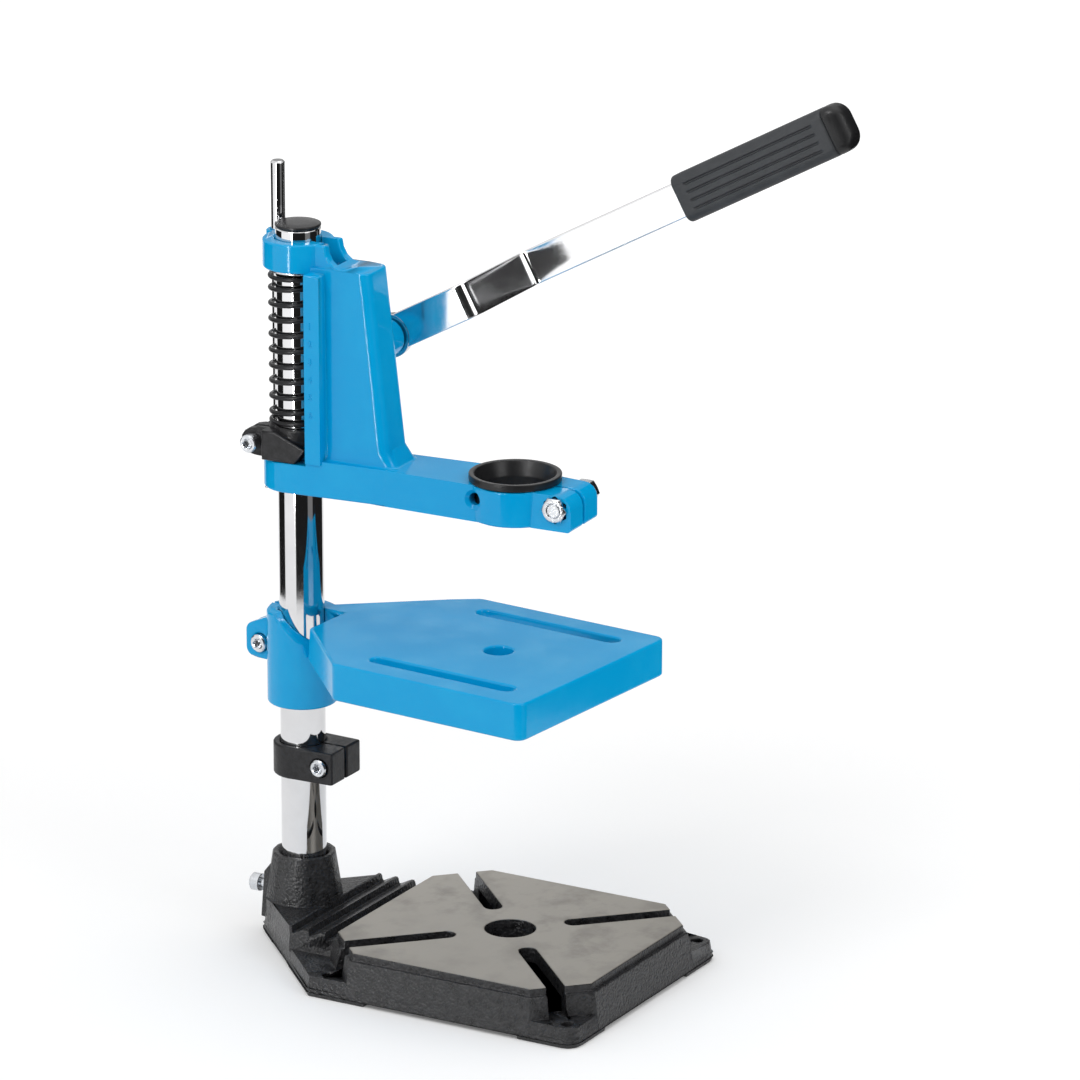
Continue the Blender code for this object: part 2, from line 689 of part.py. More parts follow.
def column(chrome, plastic):
    """Chromed tube and its plastic cap."""
    inner = COLUMN_RADIUS - COLUMN_WALL
    tube = turned("column",
                  [(COLUMN_RADIUS - CAP_CHAMFER, COLUMN_TOP), (COLUMN_RADIUS, COLUMN_TOP - CAP_CHAMFER),
                             (COLUMN_RADIUS, SOCKET_FLOOR), (inner, SOCKET_FLOOR), (inner, COLUMN_TOP)])
    as_part(tube, "column", chrome)
    low, high = COLUMN_TOP + GAP, COLUMN_TOP + CAP_HEIGHT
    cap = turned("cap", [(0, high), (CAP_RADIUS - CAP_CHAMFER, high), (CAP_RADIUS, high - CAP_CHAMFER),
                         (CAP_RADIUS, low), (inner - GAP, low), (inner - GAP, COLUMN_TOP - CAP_STEM),
                         (0, COLUMN_TOP - CAP_STEM)])
    as_part(cap, "column_cap", plastic)


def base_clamp_screw(material):
    """Socket-head screw that holds the column in the base."""
    place = (0, SOCKET_FOOT_RADIUS + LEDGE + BASE_SCREW_SHOW, BASE_SCREW_Z)
    socket_screw("base_clamp_screw", material, place[1] - COLUMN_RADIUS - GAP, place, "Y")


def stop_collar(black, zinc):
    """Split collar that the table rests on, with its screw and nut."""
    lean = radians(STOP_LEAN_DEGREES)
    back = arc((0, 0), STOP_RADIUS, -lean, pi + lean, ROUND_STEPS // 2)
    body = [Vector((-STOP_HALF_WIDTH, -STOP_END)), Vector((STOP_HALF_WIDTH, -STOP_END))] + back
    collar = slab("collar", [body, circle((0, 0), BORE_RADIUS)], STOP_BOTTOM, STOP_BOTTOM + STOP_HEIGHT)
    middle = STOP_BOTTOM + STOP_HEIGHT / 2
    floor_x = STOP_HALF_WIDTH - STOP_HEAD_DEPTH
    saw_cut = slit("collar_slit", -STOP_END - OVERRUN, -COLUMN_RADIUS / 2, STOP_BOTTOM,
                   STOP_BOTTOM + STOP_HEIGHT)
    cut(collar, saw_cut, *clamp_holes((0, -STOP_SCREW_Y, middle), STOP_HALF_WIDTH, floor_x, M6_NUT, floor_x))
    as_part(collar, "stop_collar", black)
    clamp_screw("stop_collar", zinc, (0, -STOP_SCREW_Y, middle), floor_x, STOP_HALF_WIDTH + floor_x)


def slit(name, start, stop, low, high, frame=None):
    """Saw cut through a clamp, in the middle plane."""
    half = CLAMP_SLIT / 2
    outline = [Vector((-half, start)), Vector((half, start)), Vector((half, stop)), Vector((-half, stop))]
    return slab(name, outline, low - OVERRUN, high + OVERRUN, frame=frame)


def clamp_holes(place, half, head_floor, nut_width, nut_floor, frame=None, bolt=M6_DIAMETER, head=M6_HEAD):
    """Clearance hole across a clamp, counterbore for the head at -X and hexagon pocket for the nut at +X."""
    hole = rod_shape("clamp_hole", bolt / 2, -half - OVERRUN, half + OVERRUN, SMALL_STEPS, place, "X", frame)
    sink = rod_shape("clamp_sink", head / 2 + GAP, -half - OVERRUN, -head_floor, SMALL_STEPS, place, "X",
                     frame)
    outline = hex_outline(nut_width + 2 * GAP, (place[1], place[2]))
    pocket = slab("nut_pocket", outline, nut_floor, half + OVERRUN, "X", frame)
    return hole, sink, pocket


def clamp_screw(name, material, place, head_floor, length, frame=None):
    """Screw and nut in a clamp made by clamp_holes."""
    socket_screw(name + "_screw", material, length, (-head_floor - GAP, place[1], place[2]), "X", frame=frame)
    hex_nut(name + "_nut", material, M6_NUT, M6_DIAMETER, M6_NUT_LENGTH,
            (head_floor + GAP, place[1], place[2]), "X", frame)


def table_outline():
    """Table seen from above: a rectangle whose rear edges slant in to meet behind the column's axis."""
    half = TABLE_HALF_WIDTH
    return rounded([(-half, -TABLE_FRONT, TABLE_CORNER), (half, -TABLE_FRONT, TABLE_CORNER),
                    (half, -TABLE_SIDE_REAR, TABLE_CORNER), (0, TABLE_APEX, 0),
                    (-half, -TABLE_SIDE_REAR, TABLE_CORNER)])


def table(blue, frame):
    """Table casting: hollow below, with slots, a centre hole, the cut-away collar and its clamp lug."""
    outline = table_outline()
    rim_bottom = TABLE_TOP - TABLE_RIM
    casting = slab("table", outline, rim_bottom, TABLE_TOP, frame=frame)
    cut(casting,
        slab("table_hollow", grown(outline, -TABLE_WALL), rim_bottom - OVERRUN, TABLE_TOP - TABLE_PLATE,
                      frame=frame))
    collar = rod_shape("table_collar", COLLAR_RADIUS, COLLAR_BOTTOM, TABLE_TOP - GAP, ROUND_STEPS,
                       frame=frame)
    low, high = rim_bottom + FOOT_INSET, TABLE_TOP - TABLE_PLATE + LEDGE
    rib = slab("table_rib", [Vector((-RIB_WIDTH / 2, TABLE_WALL / 2 - TABLE_FRONT)),
                             Vector((RIB_WIDTH / 2, TABLE_WALL / 2 - TABLE_FRONT)),
                             Vector((RIB_WIDTH / 2, 0)), Vector((-RIB_WIDTH / 2, 0))], low, high, frame=frame)
    ring = rod_shape("table_ring", TABLE_HOLE / 2 + TABLE_WALL, low + GAP, high - GAP, ROUND_STEPS // 2,
                     (0, -THROAT, 0), frame=frame)
    join(casting, collar, table_lug(frame), rib, ring)
    bore = rod_shape("table_bore", BORE_RADIUS, COLLAR_BOTTOM - OVERRUN, TABLE_TOP + OVERRUN, ROUND_STEPS,
                     frame=frame)
    hole = rod_shape("table_hole", TABLE_HOLE / 2, rim_bottom - OVERRUN, TABLE_TOP + OVERRUN,
                     ROUND_STEPS // 2,
                     (0, -THROAT, 0), frame=frame)
    slots = [slab("table_slot", table_slot(side), rim_bottom - OVERRUN, TABLE_TOP + OVERRUN, frame=frame)
             for side in (-1, 1)]
    saw_cut = slit("table_slit", COLUMN_RADIUS / 2, TABLE_LUG_END + OVERRUN, COLLAR_BOTTOM, TABLE_TOP, frame)
    floor_x = TABLE_LUG_HALF_WIDTH / 2
    screw_holes = clamp_holes((0, TABLE_SCREW_Y, TABLE_SCREW_Z), TABLE_LUG_HALF_WIDTH, floor_x, M6_NUT,
                              floor_x, frame)
    cut(casting, collar_cut(frame), bore, hole, saw_cut, *slots, *screw_holes)
    as_part(casting, "table", blue)


def table_slot(side):
    """Slot with round ends along the table."""
    x, radius = side * TABLE_SLOT_X, TABLE_SLOT_WIDTH / 2
    return (arc((x, radius - TABLE_SLOT_FRONT), radius, pi, 2 * pi, ARC_STEPS * 2)
            + arc((x, -radius - TABLE_SLOT_REAR), radius, 0, pi, ARC_STEPS * 2))


def table_lug(frame):
    """Clamp lug behind the collar, its top rising to the collar."""
    outline = rounded([(COLUMN_RADIUS, TABLE_LUG_BOTTOM, 0),
                       (TABLE_LUG_END, TABLE_LUG_BOTTOM, TABLE_LUG_RADIUS),
                       (TABLE_LUG_END, TABLE_LUG_TOP, TABLE_LUG_RADIUS),
                       (COLLAR_RADIUS, TABLE_LUG_TOP + TABLE_LUG_RISE, 0),
                       (COLUMN_RADIUS, TABLE_LUG_TOP + TABLE_LUG_RISE, 0)])
    return slab("table_lug", outline, -TABLE_LUG_HALF_WIDTH, TABLE_LUG_HALF_WIDTH, "X", frame)


def collar_cut(frame):
    """Sloping cut that opens the collar in front of the column and clears the table's rear edge."""
    slope = (COLLAR_CUT_REAR + COLLAR_CUT_FRONT) / (TABLE_TOP - COLLAR_CUT_LOW)
    outline = [Vector((-COLLAR_CUT_FRONT, COLLAR_CUT_LOW)),
               Vector((COLLAR_CUT_REAR + slope * OVERRUN, TABLE_TOP + OVERRUN)),
               Vector((-COLLAR_CUT_FRONT - COLLAR_CUT_LEAN, TABLE_TOP + OVERRUN))]
    return slab("collar_cut", outline, -TABLE_HALF_WIDTH, COLUMN_RADIUS / 2, "X", frame)


def bracket(black, frame):
    """Bracket clamped to the column: spring seat, tongue for the rack, guide for the rod and split lug."""
    outline = [Vector((BRACKET_REAR, BRACKET_BOTTOM)), Vector((BRACKET_REAR, BRACKET_TOP)),
               Vector((BRACKET_FLAT_REAR, BRACKET_TOP)), Vector((-BRACKET_FRONT, BRACKET_FRONT_Z)),
               Vector((-BRACKET_CHAMFER_Y, BRACKET_BOTTOM))]
    body = slab("bracket", outline, -BRACKET_HALF_WIDTH, BRACKET_HALF_WIDTH, "X", frame)
    seat = rod_shape("spring_seat", SPRING_SEAT_RADIUS, BRACKET_FRONT_Z - GAP, SPRING_SEAT_Z, ROUND_STEPS,
                     frame=frame)
    tongue_line = [Vector((-TONGUE_HALF_WIDTH, GAP - RACK_BACK)),
                   Vector((TONGUE_HALF_WIDTH, GAP - RACK_BACK)),
                   Vector((TONGUE_HALF_WIDTH, 0)), Vector((-TONGUE_HALF_WIDTH, 0))]
    tongue = slab("tongue", tongue_line, TONGUE_Z, BRACKET_TOP - GAP, frame=frame)
    guide = rod_shape("rod_guide", ROD_BOSS_RADIUS, BRACKET_BOTTOM + GAP, BRACKET_TOP - BRACKET_CHAMFER_Y / 2,
                      SMALL_STEPS, (ROD_X, ROD_Y, 0), frame=frame)
    low, high = BRACKET_LUG_Z - BRACKET_LUG_RADIUS, BRACKET_LUG_Z + BRACKET_LUG_RADIUS
    end = BRACKET_LUG_Y + BRACKET_LUG_RADIUS
    round_end = BRACKET_LUG_RADIUS - FOOT_INSET
    lug_line = rounded([(COLUMN_RADIUS, low, 0), (end, low, round_end), (end, high, round_end),
                        (COLUMN_RADIUS, high, 0)])
    lug = slab("bracket_lug", lug_line, -BRACKET_LUG_HALF_WIDTH, BRACKET_LUG_HALF_WIDTH, "X", frame)
    join(body, seat, tongue, guide, lug)
    top = SPRING_SEAT_Z + OVERRUN
    bore = rod_shape("bracket_bore", BORE_RADIUS, low - OVERRUN, top, ROUND_STEPS, frame=frame)
    rod_bore = rod_shape("rod_bore", ROD_DIAMETER / 2 + GAP, low - OVERRUN, top, SMALL_STEPS,
                         (ROD_X, ROD_Y, 0),
                         frame=frame)
    bolt_hole = rod_shape("bolt_hole", M6_DIAMETER / 2, -BRACKET_HALF_WIDTH, BRACKET_HALF_WIDTH, SMALL_STEPS,
                          (0, BRACKET_LUG_Y, BRACKET_LUG_Z), "X", frame)
    rack_hole = rod_shape("rack_screw_hole", RACK_SCREW_DIAMETER / 2, 0, RACK_BACK + OVERRUN, SMALL_STEPS,
                          (0, 0, RACK_SCREW_Z), "Y", frame)
    saw_cut = slit("bracket_slit", COLUMN_RADIUS / 2, end + OVERRUN, low, SPRING_SEAT_Z, frame)
    cut(body, bore, rod_bore, bolt_hole, rack_hole, saw_cut)
    as_part(body, "column_bracket", black)


def head_shapes(frame):
    """Solids that make up the head casting, besides the arm."""
    ring = tapered("tool_ring", circle((0, -THROAT), TOOL_RING_BOTTOM_RADIUS), ARM_BOTTOM + FOOT_INSET,
                   circle((0, -THROAT), TOOL_RING_TOP_RADIUS), ARM_TOP - FOOT_INSET, frame)
    low, high = ARM_BOTTOM + GAP, ARM_TOP - GAP
    ear_line = rounded([(-THROAT, low, 0), (-THROAT, high, 0), (-EAR_END, high, EAR_RADIUS),
                        (-EAR_END, low, LEDGE)])
    ears = slab("ears", ear_line, -EAR_HALF_WIDTH, EAR_HALF_WIDTH, "X", frame)
    foot = ARM_TOP - LEDGE
    housing = tapered("housing", housing_outline(0, HOUSING_FOOT_FRONT), foot,
                      housing_outline(0, HOUSING_TOP_FRONT), HOUSING_TOP, frame)
    flare = tapered("flare", housing_outline(HOUSING_FLARE, HOUSING_FLARE_FRONT), foot,
                    housing_outline(-GAP, HOUSING_FOOT_FRONT - HOUSING_FLARE), HOUSING_FLARE_Z, frame)
    strips_line = [Vector((-STRIP_HALF_WIDTH, -STRIP_FRONT)), Vector((STRIP_HALF_WIDTH, -STRIP_FRONT)),
                   Vector((STRIP_HALF_WIDTH, -STRIP_REAR)), Vector((-STRIP_HALF_WIDTH, -STRIP_REAR))]
    strips = slab("strips", strips_line, foot + GAP, STRIP_TOP, frame=frame)
    upper = rod_shape("upper_ring", UPPER_RING_RADIUS, UPPER_RING_BOTTOM, UPPER_RING_TOP, ROUND_STEPS,
                      frame=frame)
    rod_boss = rod_shape("upper_rod_boss", ROD_BOSS_RADIUS, UPPER_RING_BOTTOM + GAP, UPPER_RING_TOP - GAP,
                         SMALL_STEPS, (ROD_X, ROD_Y, 0), frame=frame)
    low_boss = rod_shape("lower_rod_boss", ROD_BOSS_RADIUS, ARM_BOTTOM + FOOT_INSET, BRACKET_BOTTOM - GAP * 2,
                         SMALL_STEPS, (ROD_X, ROD_Y, 0), frame=frame)
    shaft_boss = rod_shape("shaft_boss", SHAFT_BOSS_RADIUS, 0, SHAFT_BOSS_END, ROUND_STEPS,
                           (0, -SHAFT_Y, SHAFT_Z), "X", frame)
    return ring, ears, housing, flare, strips, upper, web_shape(frame), rod_boss, low_boss, shaft_boss


def housing_outline(spread, front):
    """Section of the pinion housing seen from above."""
    half = HOUSING_HALF_WIDTH + spread
    return rounded([(-half, -front, HOUSING_RADIUS), (half, -front, HOUSING_RADIUS),
                    (half, -HOUSING_REAR, 0), (-half, -HOUSING_REAR, 0)])


def web_shape(frame):
    """Web that sweeps from the housing's top up to the upper ring in a hollow curve."""
    rise = UPPER_RING_TOP - GAP - HOUSING_TOP
    run = HOUSING_WEB_FRONT - HOUSING_WEB_TOP
    angles = [pi / 2 * index / ARC_STEPS for index in range(ARC_STEPS + 1)]
    sweep = [Vector((run * sin(angle) - HOUSING_WEB_FRONT, HOUSING_TOP + rise * (1 - cos(angle))))
             for angle in angles]
    outline = [Vector((-HOUSING_WEB_FRONT, HOUSING_TOP - LEDGE))] + sweep
    outline += [Vector((-HOUSING_REAR, UPPER_RING_TOP - GAP)), Vector((-HOUSING_REAR, HOUSING_TOP - LEDGE))]
    half = HOUSING_HALF_WIDTH - LEDGE
    return slab("web", outline, -half, half, "X", frame)


def head_cuts(frame):
    """Everything taken out of the head casting."""
    floor_z = BRACKET_BOTTOM - GAP
    rear = TABLE_LUG_END + COLUMN_RADIUS
    wide = BRACKET_HALF_WIDTH + OVERRUN * 2
    gate = [Vector((-wide, -STRIP_REAR)), Vector((wide, -STRIP_REAR)), Vector((wide, rear)),
            Vector((-wide, rear))]
    opening = slab("bracket_space", gate, floor_z, UPPER_RING_BOTTOM - GAP, frame=frame)
    channel = rod_shape("spring_channel", SPRING_CHANNEL_RADIUS, floor_z + FOOT_INSET, UPPER_RING_BOTTOM,
                        ROUND_STEPS, frame=frame)
    half = BRACKET_LUG_HALF_WIDTH + SLOT_CLEARANCE
    lug_line = [Vector((-half, 0)), Vector((half, 0)), Vector((half, rear)), Vector((-half, rear))]
    lug_space = slab("lug_space", lug_line, BRACKET_LUG_Z - BRACKET_LUG_RADIUS - GAP * 2, floor_z + LEDGE,
                     frame=frame)
    bore = rod_shape("head_bore", BORE_RADIUS, ARM_BOTTOM - OVERRUN, UPPER_RING_TOP + OVERRUN, ROUND_STEPS,
                     frame=frame)
    rod_bore = rod_shape("head_rod_bore", ROD_DIAMETER / 2 + GAP, ARM_BOTTOM - OVERRUN,
                         UPPER_RING_TOP + OVERRUN,
                         SMALL_STEPS, (ROD_X, ROD_Y, 0), frame=frame)
    return (opening, channel, lug_space, bore, rod_bore) + gear_cuts(frame) + tool_cuts(frame)


def gear_cuts(frame):
    """Slot for the rack, chamber for the pinion and bore for its shaft."""
    half = RACK_HALF_WIDTH + SLOT_CLEARANCE
    front = RACK_LINE + GEAR_MODULE + SLOT_CLEARANCE
    line = [Vector((-half, -front)), Vector((half, -front)), Vector((half, 0)), Vector((-half, 0))]
    slot = slab("rack_slot", line, RACK_BOTTOM - GAP, UPPER_RING_TOP + OVERRUN, frame=frame)
    radius = PITCH_RADIUS + GEAR_MODULE + CHAMBER_GAP
    side = PINION_WIDTH / 2 + GAP
    place = (0, -SHAFT_Y, SHAFT_Z)
    chamber = rod_shape("pinion_chamber", radius, -side, side, ROUND_STEPS, place, "X", frame)
    bore = rod_shape("shaft_bore", SHAFT_DIAMETER / 2 + GAP, -SHAFT_BLIND_END, SHAFT_BOSS_END + OVERRUN,
                     SMALL_STEPS, place, "X", frame)
    return slot, chamber, bore


def tool_cuts(frame):
    """Bore for the tool's collar, the saw cut between the ears, and the screw holes."""
    low, high = ARM_BOTTOM - OVERRUN, ARM_TOP + OVERRUN
    bore = rod_shape("tool_bore", TOOL_BORE / 2, low, high, ROUND_STEPS + SMALL_STEPS, (0, -THROAT, 0),
                     frame=frame)
    ear_slit = slit("ear_slit", -EAR_END - OVERRUN, -THROAT - TOOL_BORE / 4, ARM_BOTTOM, ARM_TOP, frame)
    place = (0, -EAR_BOLT_Y, EAR_BOLT_Z)
    hole = rod_shape("ear_hole", M8_DIAMETER / 2 + GAP, -EAR_HALF_WIDTH - OVERRUN, EAR_HALF_WIDTH + OVERRUN,
                     SMALL_STEPS, place, "X", frame)
    pocket = slab("ear_pocket", hex_outline(M8_NUT + 2 * GAP, (place[1], place[2])),
                  -EAR_HALF_WIDTH - OVERRUN,
                  EAR_NUT_DEPTH - EAR_HALF_WIDTH, "X", frame)
    side_place = (0, -SIDE_HOLE_Y, EAR_BOLT_Z)
    radius = SIDE_HOLE_DIAMETER / 2
    side_hole = rod_shape("side_hole", radius, -TOOL_RING_TOP_RADIUS, -radius, SMALL_STEPS, side_place, "X",
                          frame)
    mouth = ARM_RING_HALF_WIDTH - GAP
    spread = SIDE_HOLE_SINK / 2 - radius
    sink = turned("side_sink", [(0, SIDE_HOLE_SINK_DEPTH - mouth), (radius, SIDE_HOLE_SINK_DEPTH - mouth),
                                (radius + spread, -mouth), (radius + spread, -mouth - OVERRUN),
                                (0, -mouth - OVERRUN)], SMALL_STEPS, side_place, "X", frame)
    return bore, ear_slit, hole, pocket, side_hole, sink


def head_casting(blue, frame):
    """Arm, pinion housing, bearing rings and clamp ring in one casting."""
    outline = [Vector((-ARM_RING_HALF_WIDTH, -THROAT)), Vector((ARM_RING_HALF_WIDTH, -THROAT)),
               Vector((ARM_WAIST_HALF_WIDTH, -ARM_WAIST_Y))]
    outline += arc((0, 0), ARM_REAR_RADIUS, 0, pi, ROUND_STEPS // 2)
    outline.append(Vector((-ARM_WAIST_HALF_WIDTH, -ARM_WAIST_Y)))
    casting = slab("arm", outline, ARM_BOTTOM, ARM_TOP, frame=frame)
    join(casting, *head_shapes(frame))
    cut(casting, *head_cuts(frame))
    as_part(casting, "head_casting", blue)


def adapter_ring(plastic, frame):
    """Plastic ring that fits the tool's collar: a flange on the arm and a sleeve in the bore."""
    low, high = ARM_TOP + GAP, ARM_TOP + FLANGE_HEIGHT
    sleeve = TOOL_BORE / 2 - GAP
    ring = turned("adapter", [(FLANGE_RADIUS, high), (FLANGE_RADIUS, low), (sleeve, low),
                              (sleeve, ARM_TOP - ADAPTER_LENGTH),
                              (ADAPTER_BORE / 2, ARM_TOP - ADAPTER_LENGTH),
                              (ADAPTER_BORE / 2, low - FLANGE_HEIGHT), (ADAPTER_MOUTH / 2, high)],
                  ROUND_STEPS + SMALL_STEPS, (0, -THROAT, 0), frame=frame)
    as_part(ring, "adapter_ring", plastic)


def head_clamp(zinc, frame):
    """Hexagon bolt through the ears from +X, with its nut in the pocket at -X."""
    place = (0, -EAR_BOLT_Y, EAR_BOLT_Z)
    nut_x = EAR_NUT_DEPTH - EAR_HALF_WIDTH - GAP - M8_NUT_LENGTH
    seat = EAR_HALF_WIDTH + GAP
    bolt = rod_shape("clamp_bolt", M8_DIAMETER / 2 - GAP, nut_x, seat + GAP, SMALL_STEPS, place, "X", frame)
    head = slab("bolt_head", hex_outline(M8_NUT, (place[1], place[2])), seat, seat + M8_NUT_LENGTH - GAP,
                "X", frame)
    join(bolt, head)
    as_part(bolt, "head_clamp_bolt", zinc)
    hex_nut("head_clamp_nut", zinc, M8_NUT, M8_DIAMETER, M8_NUT_LENGTH, (nut_x, place[1], place[2]), "X",
            frame)


def guide_rod(chrome, zinc, frame):
    """Rod that keeps the head in line with the bracket, and the split pin through its lower end."""
    radius = ROD_DIAMETER / 2
    place = (ROD_X, ROD_Y, 0)
    rod = turned("rod", [(0, ROD_TOP), (radius - ROD_CHAMFER, ROD_TOP), (radius, ROD_TOP - ROD_CHAMFER),
                         (radius, ROD_BOTTOM), (0, ROD_BOTTOM)], SMALL_STEPS, place, frame=frame)
    cut(rod, rod_shape("pin_hole", PIN_WIRE / 2 + GAP, -radius - OVERRUN, radius + OVERRUN, SMALL_STEPS,
                       (ROD_X, ROD_Y, PIN_Z), "Y", frame))
    as_part(rod, "guide_rod", chrome)
    reach = radius + PIN_WIRE
    path = [(0, -reach, 0), (0, reach, 0), (0, reach + PIN_WIRE / 2, -PIN_WIRE / 2),
            (0, reach + PIN_WIRE, -PIN_WIRE * PIN_BEND_SHARE), (0, reach + PIN_WIRE * 2, -PIN_LEG)]
    pin = wire("pin", [Vector((ROD_X, ROD_Y, PIN_Z)) + Vector(point) for point in path], PIN_WIRE, frame)
    as_part(pin, "split_pin", zinc)


def wire(name, points, diameter, frame=None, resolution=1):
    """Round wire through points, with filled ends."""
    curve = bpy.data.curves.new(name, "CURVE")
    curve.dimensions = "3D"
    curve.bevel_depth = diameter / 2
    curve.bevel_resolution = resolution
    curve.use_fill_caps = True
    spline = curve.splines.new("POLY")
    spline.points.add(len(points) - 1)
    for place, point in zip(spline.points, points):
        place.co = (*point, 1)
    source = bpy.data.objects.new(name, curve)
    bpy.context.scene.collection.objects.link(source)
    return mesh_from_curve(source, frame)


def spring_points():
    """Centre line of the return spring: a closed turn at each end and open turns between."""
    radius = (SPRING_OUTER - SPRING_WIRE) / 2
    low = SPRING_SEAT_Z + GAP + SPRING_WIRE / 2
    high = UPPER_RING_BOTTOM - WASHER_THICKNESS - GAP * 2 - SPRING_WIRE / 2
    closed = (SPRING_WIRE + GAP * 2) * SPRING_SEAT_TURNS
    pitch = (high - low - 2 * closed) / SPRING_TURNS
    points = []
    for index in range((SPRING_TURNS + 2 * SPRING_SEAT_TURNS) * SPRING_POINTS + 1):
        turn = index / SPRING_POINTS
        opened = min(max(turn - SPRING_SEAT_TURNS, 0), SPRING_TURNS)
        height = low + opened * pitch + (turn - opened) * closed / SPRING_SEAT_TURNS
        points.append(Vector((radius * cos(2 * pi * turn), radius * sin(2 * pi * turn), height)))
    return points


def return_spring(steel, frame):
    """Compression spring between the bracket and the upper ring, and the washer above it."""
    points = spring_points()
    least = min((a - b).length for index, a in enumerate(points) for b in points[index + SPRING_POINTS // 2:])
    print("return_spring: least gap to itself", round(least - SPRING_WIRE, 5), "m")
    as_part(wire("spring", points, SPRING_WIRE, frame), "return_spring", steel)
    high = UPPER_RING_BOTTOM - GAP
    low = high - WASHER_THICKNESS
    washer = turned("washer", [(SPRING_SEAT_RADIUS, high), (SPRING_SEAT_RADIUS, low), (BORE_RADIUS, low),
                               (BORE_RADIUS, high)], frame=frame)
    as_part(washer, "spring_washer", steel)


def involute(angle_cosine):
    """Involute function of the pressure angle whose cosine is given."""
    angle = acos(angle_cosine)
    return tan(angle) - angle


def pinion_outline():
    """Involute gear with a tooth space towards +x; each tooth is thinned by half the backlash."""
    base = PITCH_RADIUS * cos(radians(PRESSURE_DEGREES))
    tip, root = PITCH_RADIUS + GEAR_MODULE, PITCH_RADIUS - TOOTH_ROOT
    half_pitch = pi / (2 * PINION_TEETH) - BACKLASH / 2 / PITCH_RADIUS + involute(base / PITCH_RADIUS)
    start = max(base, root)
    flank = [(root, half_pitch)] if root < base else []
    for step in range(FLANK_STEPS + 1):
        radius = start + (tip - start) * step / FLANK_STEPS
        flank.append((radius, half_pitch - involute(base / radius)))
    outline = []
    for tooth in range(PINION_TEETH):
        middle = 2 * pi * (tooth + 0.5) / PINION_TEETH
        outline += [Vector((radius * cos(middle - angle), radius * sin(middle - angle)))
                    for radius, angle in flank]
        outline += [Vector((radius * cos(middle + angle), radius * sin(middle + angle)))
                    for radius, angle in reversed(flank)]
    return outline


def rack_outline():
    """Rack seen from the side: straight back, trapezoid teeth facing the pinion, one centred on its shaft."""
    pitch = pi * GEAR_MODULE
    slope = tan(radians(PRESSURE_DEGREES))
    half = pitch / 4 - BACKLASH / 2
    root_y, tip_y = TOOTH_ROOT - RACK_LINE, -RACK_LINE - GEAR_MODULE
    first = -int((SHAFT_Z - RACK_BOTTOM) / pitch - 0.5)
    last = int((RACK_TOP - SHAFT_Z) / pitch - 0.5)
    outline = [Vector((-RACK_BACK, RACK_TOP)), Vector((-RACK_BACK, RACK_BOTTOM)),
               Vector((root_y, RACK_BOTTOM))]
    for index in range(first, last + 1):
        middle = SHAFT_Z + index * pitch
        wide, narrow = half + TOOTH_ROOT * slope, half - GEAR_MODULE * slope
        outline += [Vector((root_y, middle - wide)), Vector((tip_y, middle - narrow)),
                    Vector((tip_y, middle + narrow)), Vector((root_y, middle + wide))]
    return outline + [Vector((root_y, RACK_TOP))]


def feed_rack(steel, zinc, frame):
    """Toothed rack on the bracket's tongue, and the countersunk screw that holds it."""
    rack = slab("rack", rack_outline(), -RACK_HALF_WIDTH, RACK_HALF_WIDTH, "X", frame)
    face = RACK_LINE - TOOTH_ROOT
    seat = face - RACK_SCREW_HEAD_LENGTH
    head, shank = RACK_SCREW_HEAD / 2, RACK_SCREW_DIAMETER / 2
    place = (0, 0, RACK_SCREW_Z)
    reach = PITCH_RADIUS + RACK_LINE
    cut(rack, rod_shape("rack_hole", shank + GAP, 0, reach, SMALL_STEPS, place, "Y", frame),
        rod_shape("rack_sink", head + GAP, seat - GAP, reach, SMALL_STEPS, place, "Y", frame))
    as_part(rack, "feed_rack", steel)
    screw = turned("rack_bolt", [(0, face - GAP), (head, face - GAP), (head, seat), (shank - GAP, seat),
                                 (shank - GAP, BORE_RADIUS + GAP), (0, BORE_RADIUS + GAP)],
                   SMALL_STEPS, place, "Y", frame)
    as_part(screw, "rack_screw", zinc)


def pinion(steel, chrome, lever):
    """Pinion and its stepped shaft, on the lever's axis."""
    gear = slab("gear", [pinion_outline(), circle((0, 0), SHAFT_DIAMETER / 2 + GAP, SMALL_STEPS)],
                -PINION_WIDTH / 2, PINION_WIDTH / 2, "X", lever)
    as_part(gear, "pinion", steel)
    wide, narrow = SHAFT_DIAMETER / 2, M8_DIAMETER / 2 - GAP
    step = LEVER_X + LEVER_THICKNESS / 2
    shaft = turned("shaft", [(0, SHAFT_END), (narrow, SHAFT_END), (narrow, step), (wide, step),
                             (wide, GAP - SHAFT_BLIND_END), (0, GAP - SHAFT_BLIND_END)],
                   SMALL_STEPS, along="X", frame=lever)
    as_part(shaft, "pinion_shaft", chrome)
    inner = SHAFT_BOSS_END + GAP
    washer = turned("lever_washer_ring", [(WASHER_RADIUS, inner + WASHER_THICKNESS), (WASHER_RADIUS, inner),
                                          (wide + GAP, inner), (wide + GAP, inner + WASHER_THICKNESS)],
                    SMALL_STEPS, along="X", frame=lever)
    as_part(washer, "lever_washer", chrome)
    hex_nut("lever_nut", chrome, M8_NUT, M8_DIAMETER, M8_NUT_LENGTH, (step + FOOT_INSET + GAP, 0, 0), "X",
            lever)


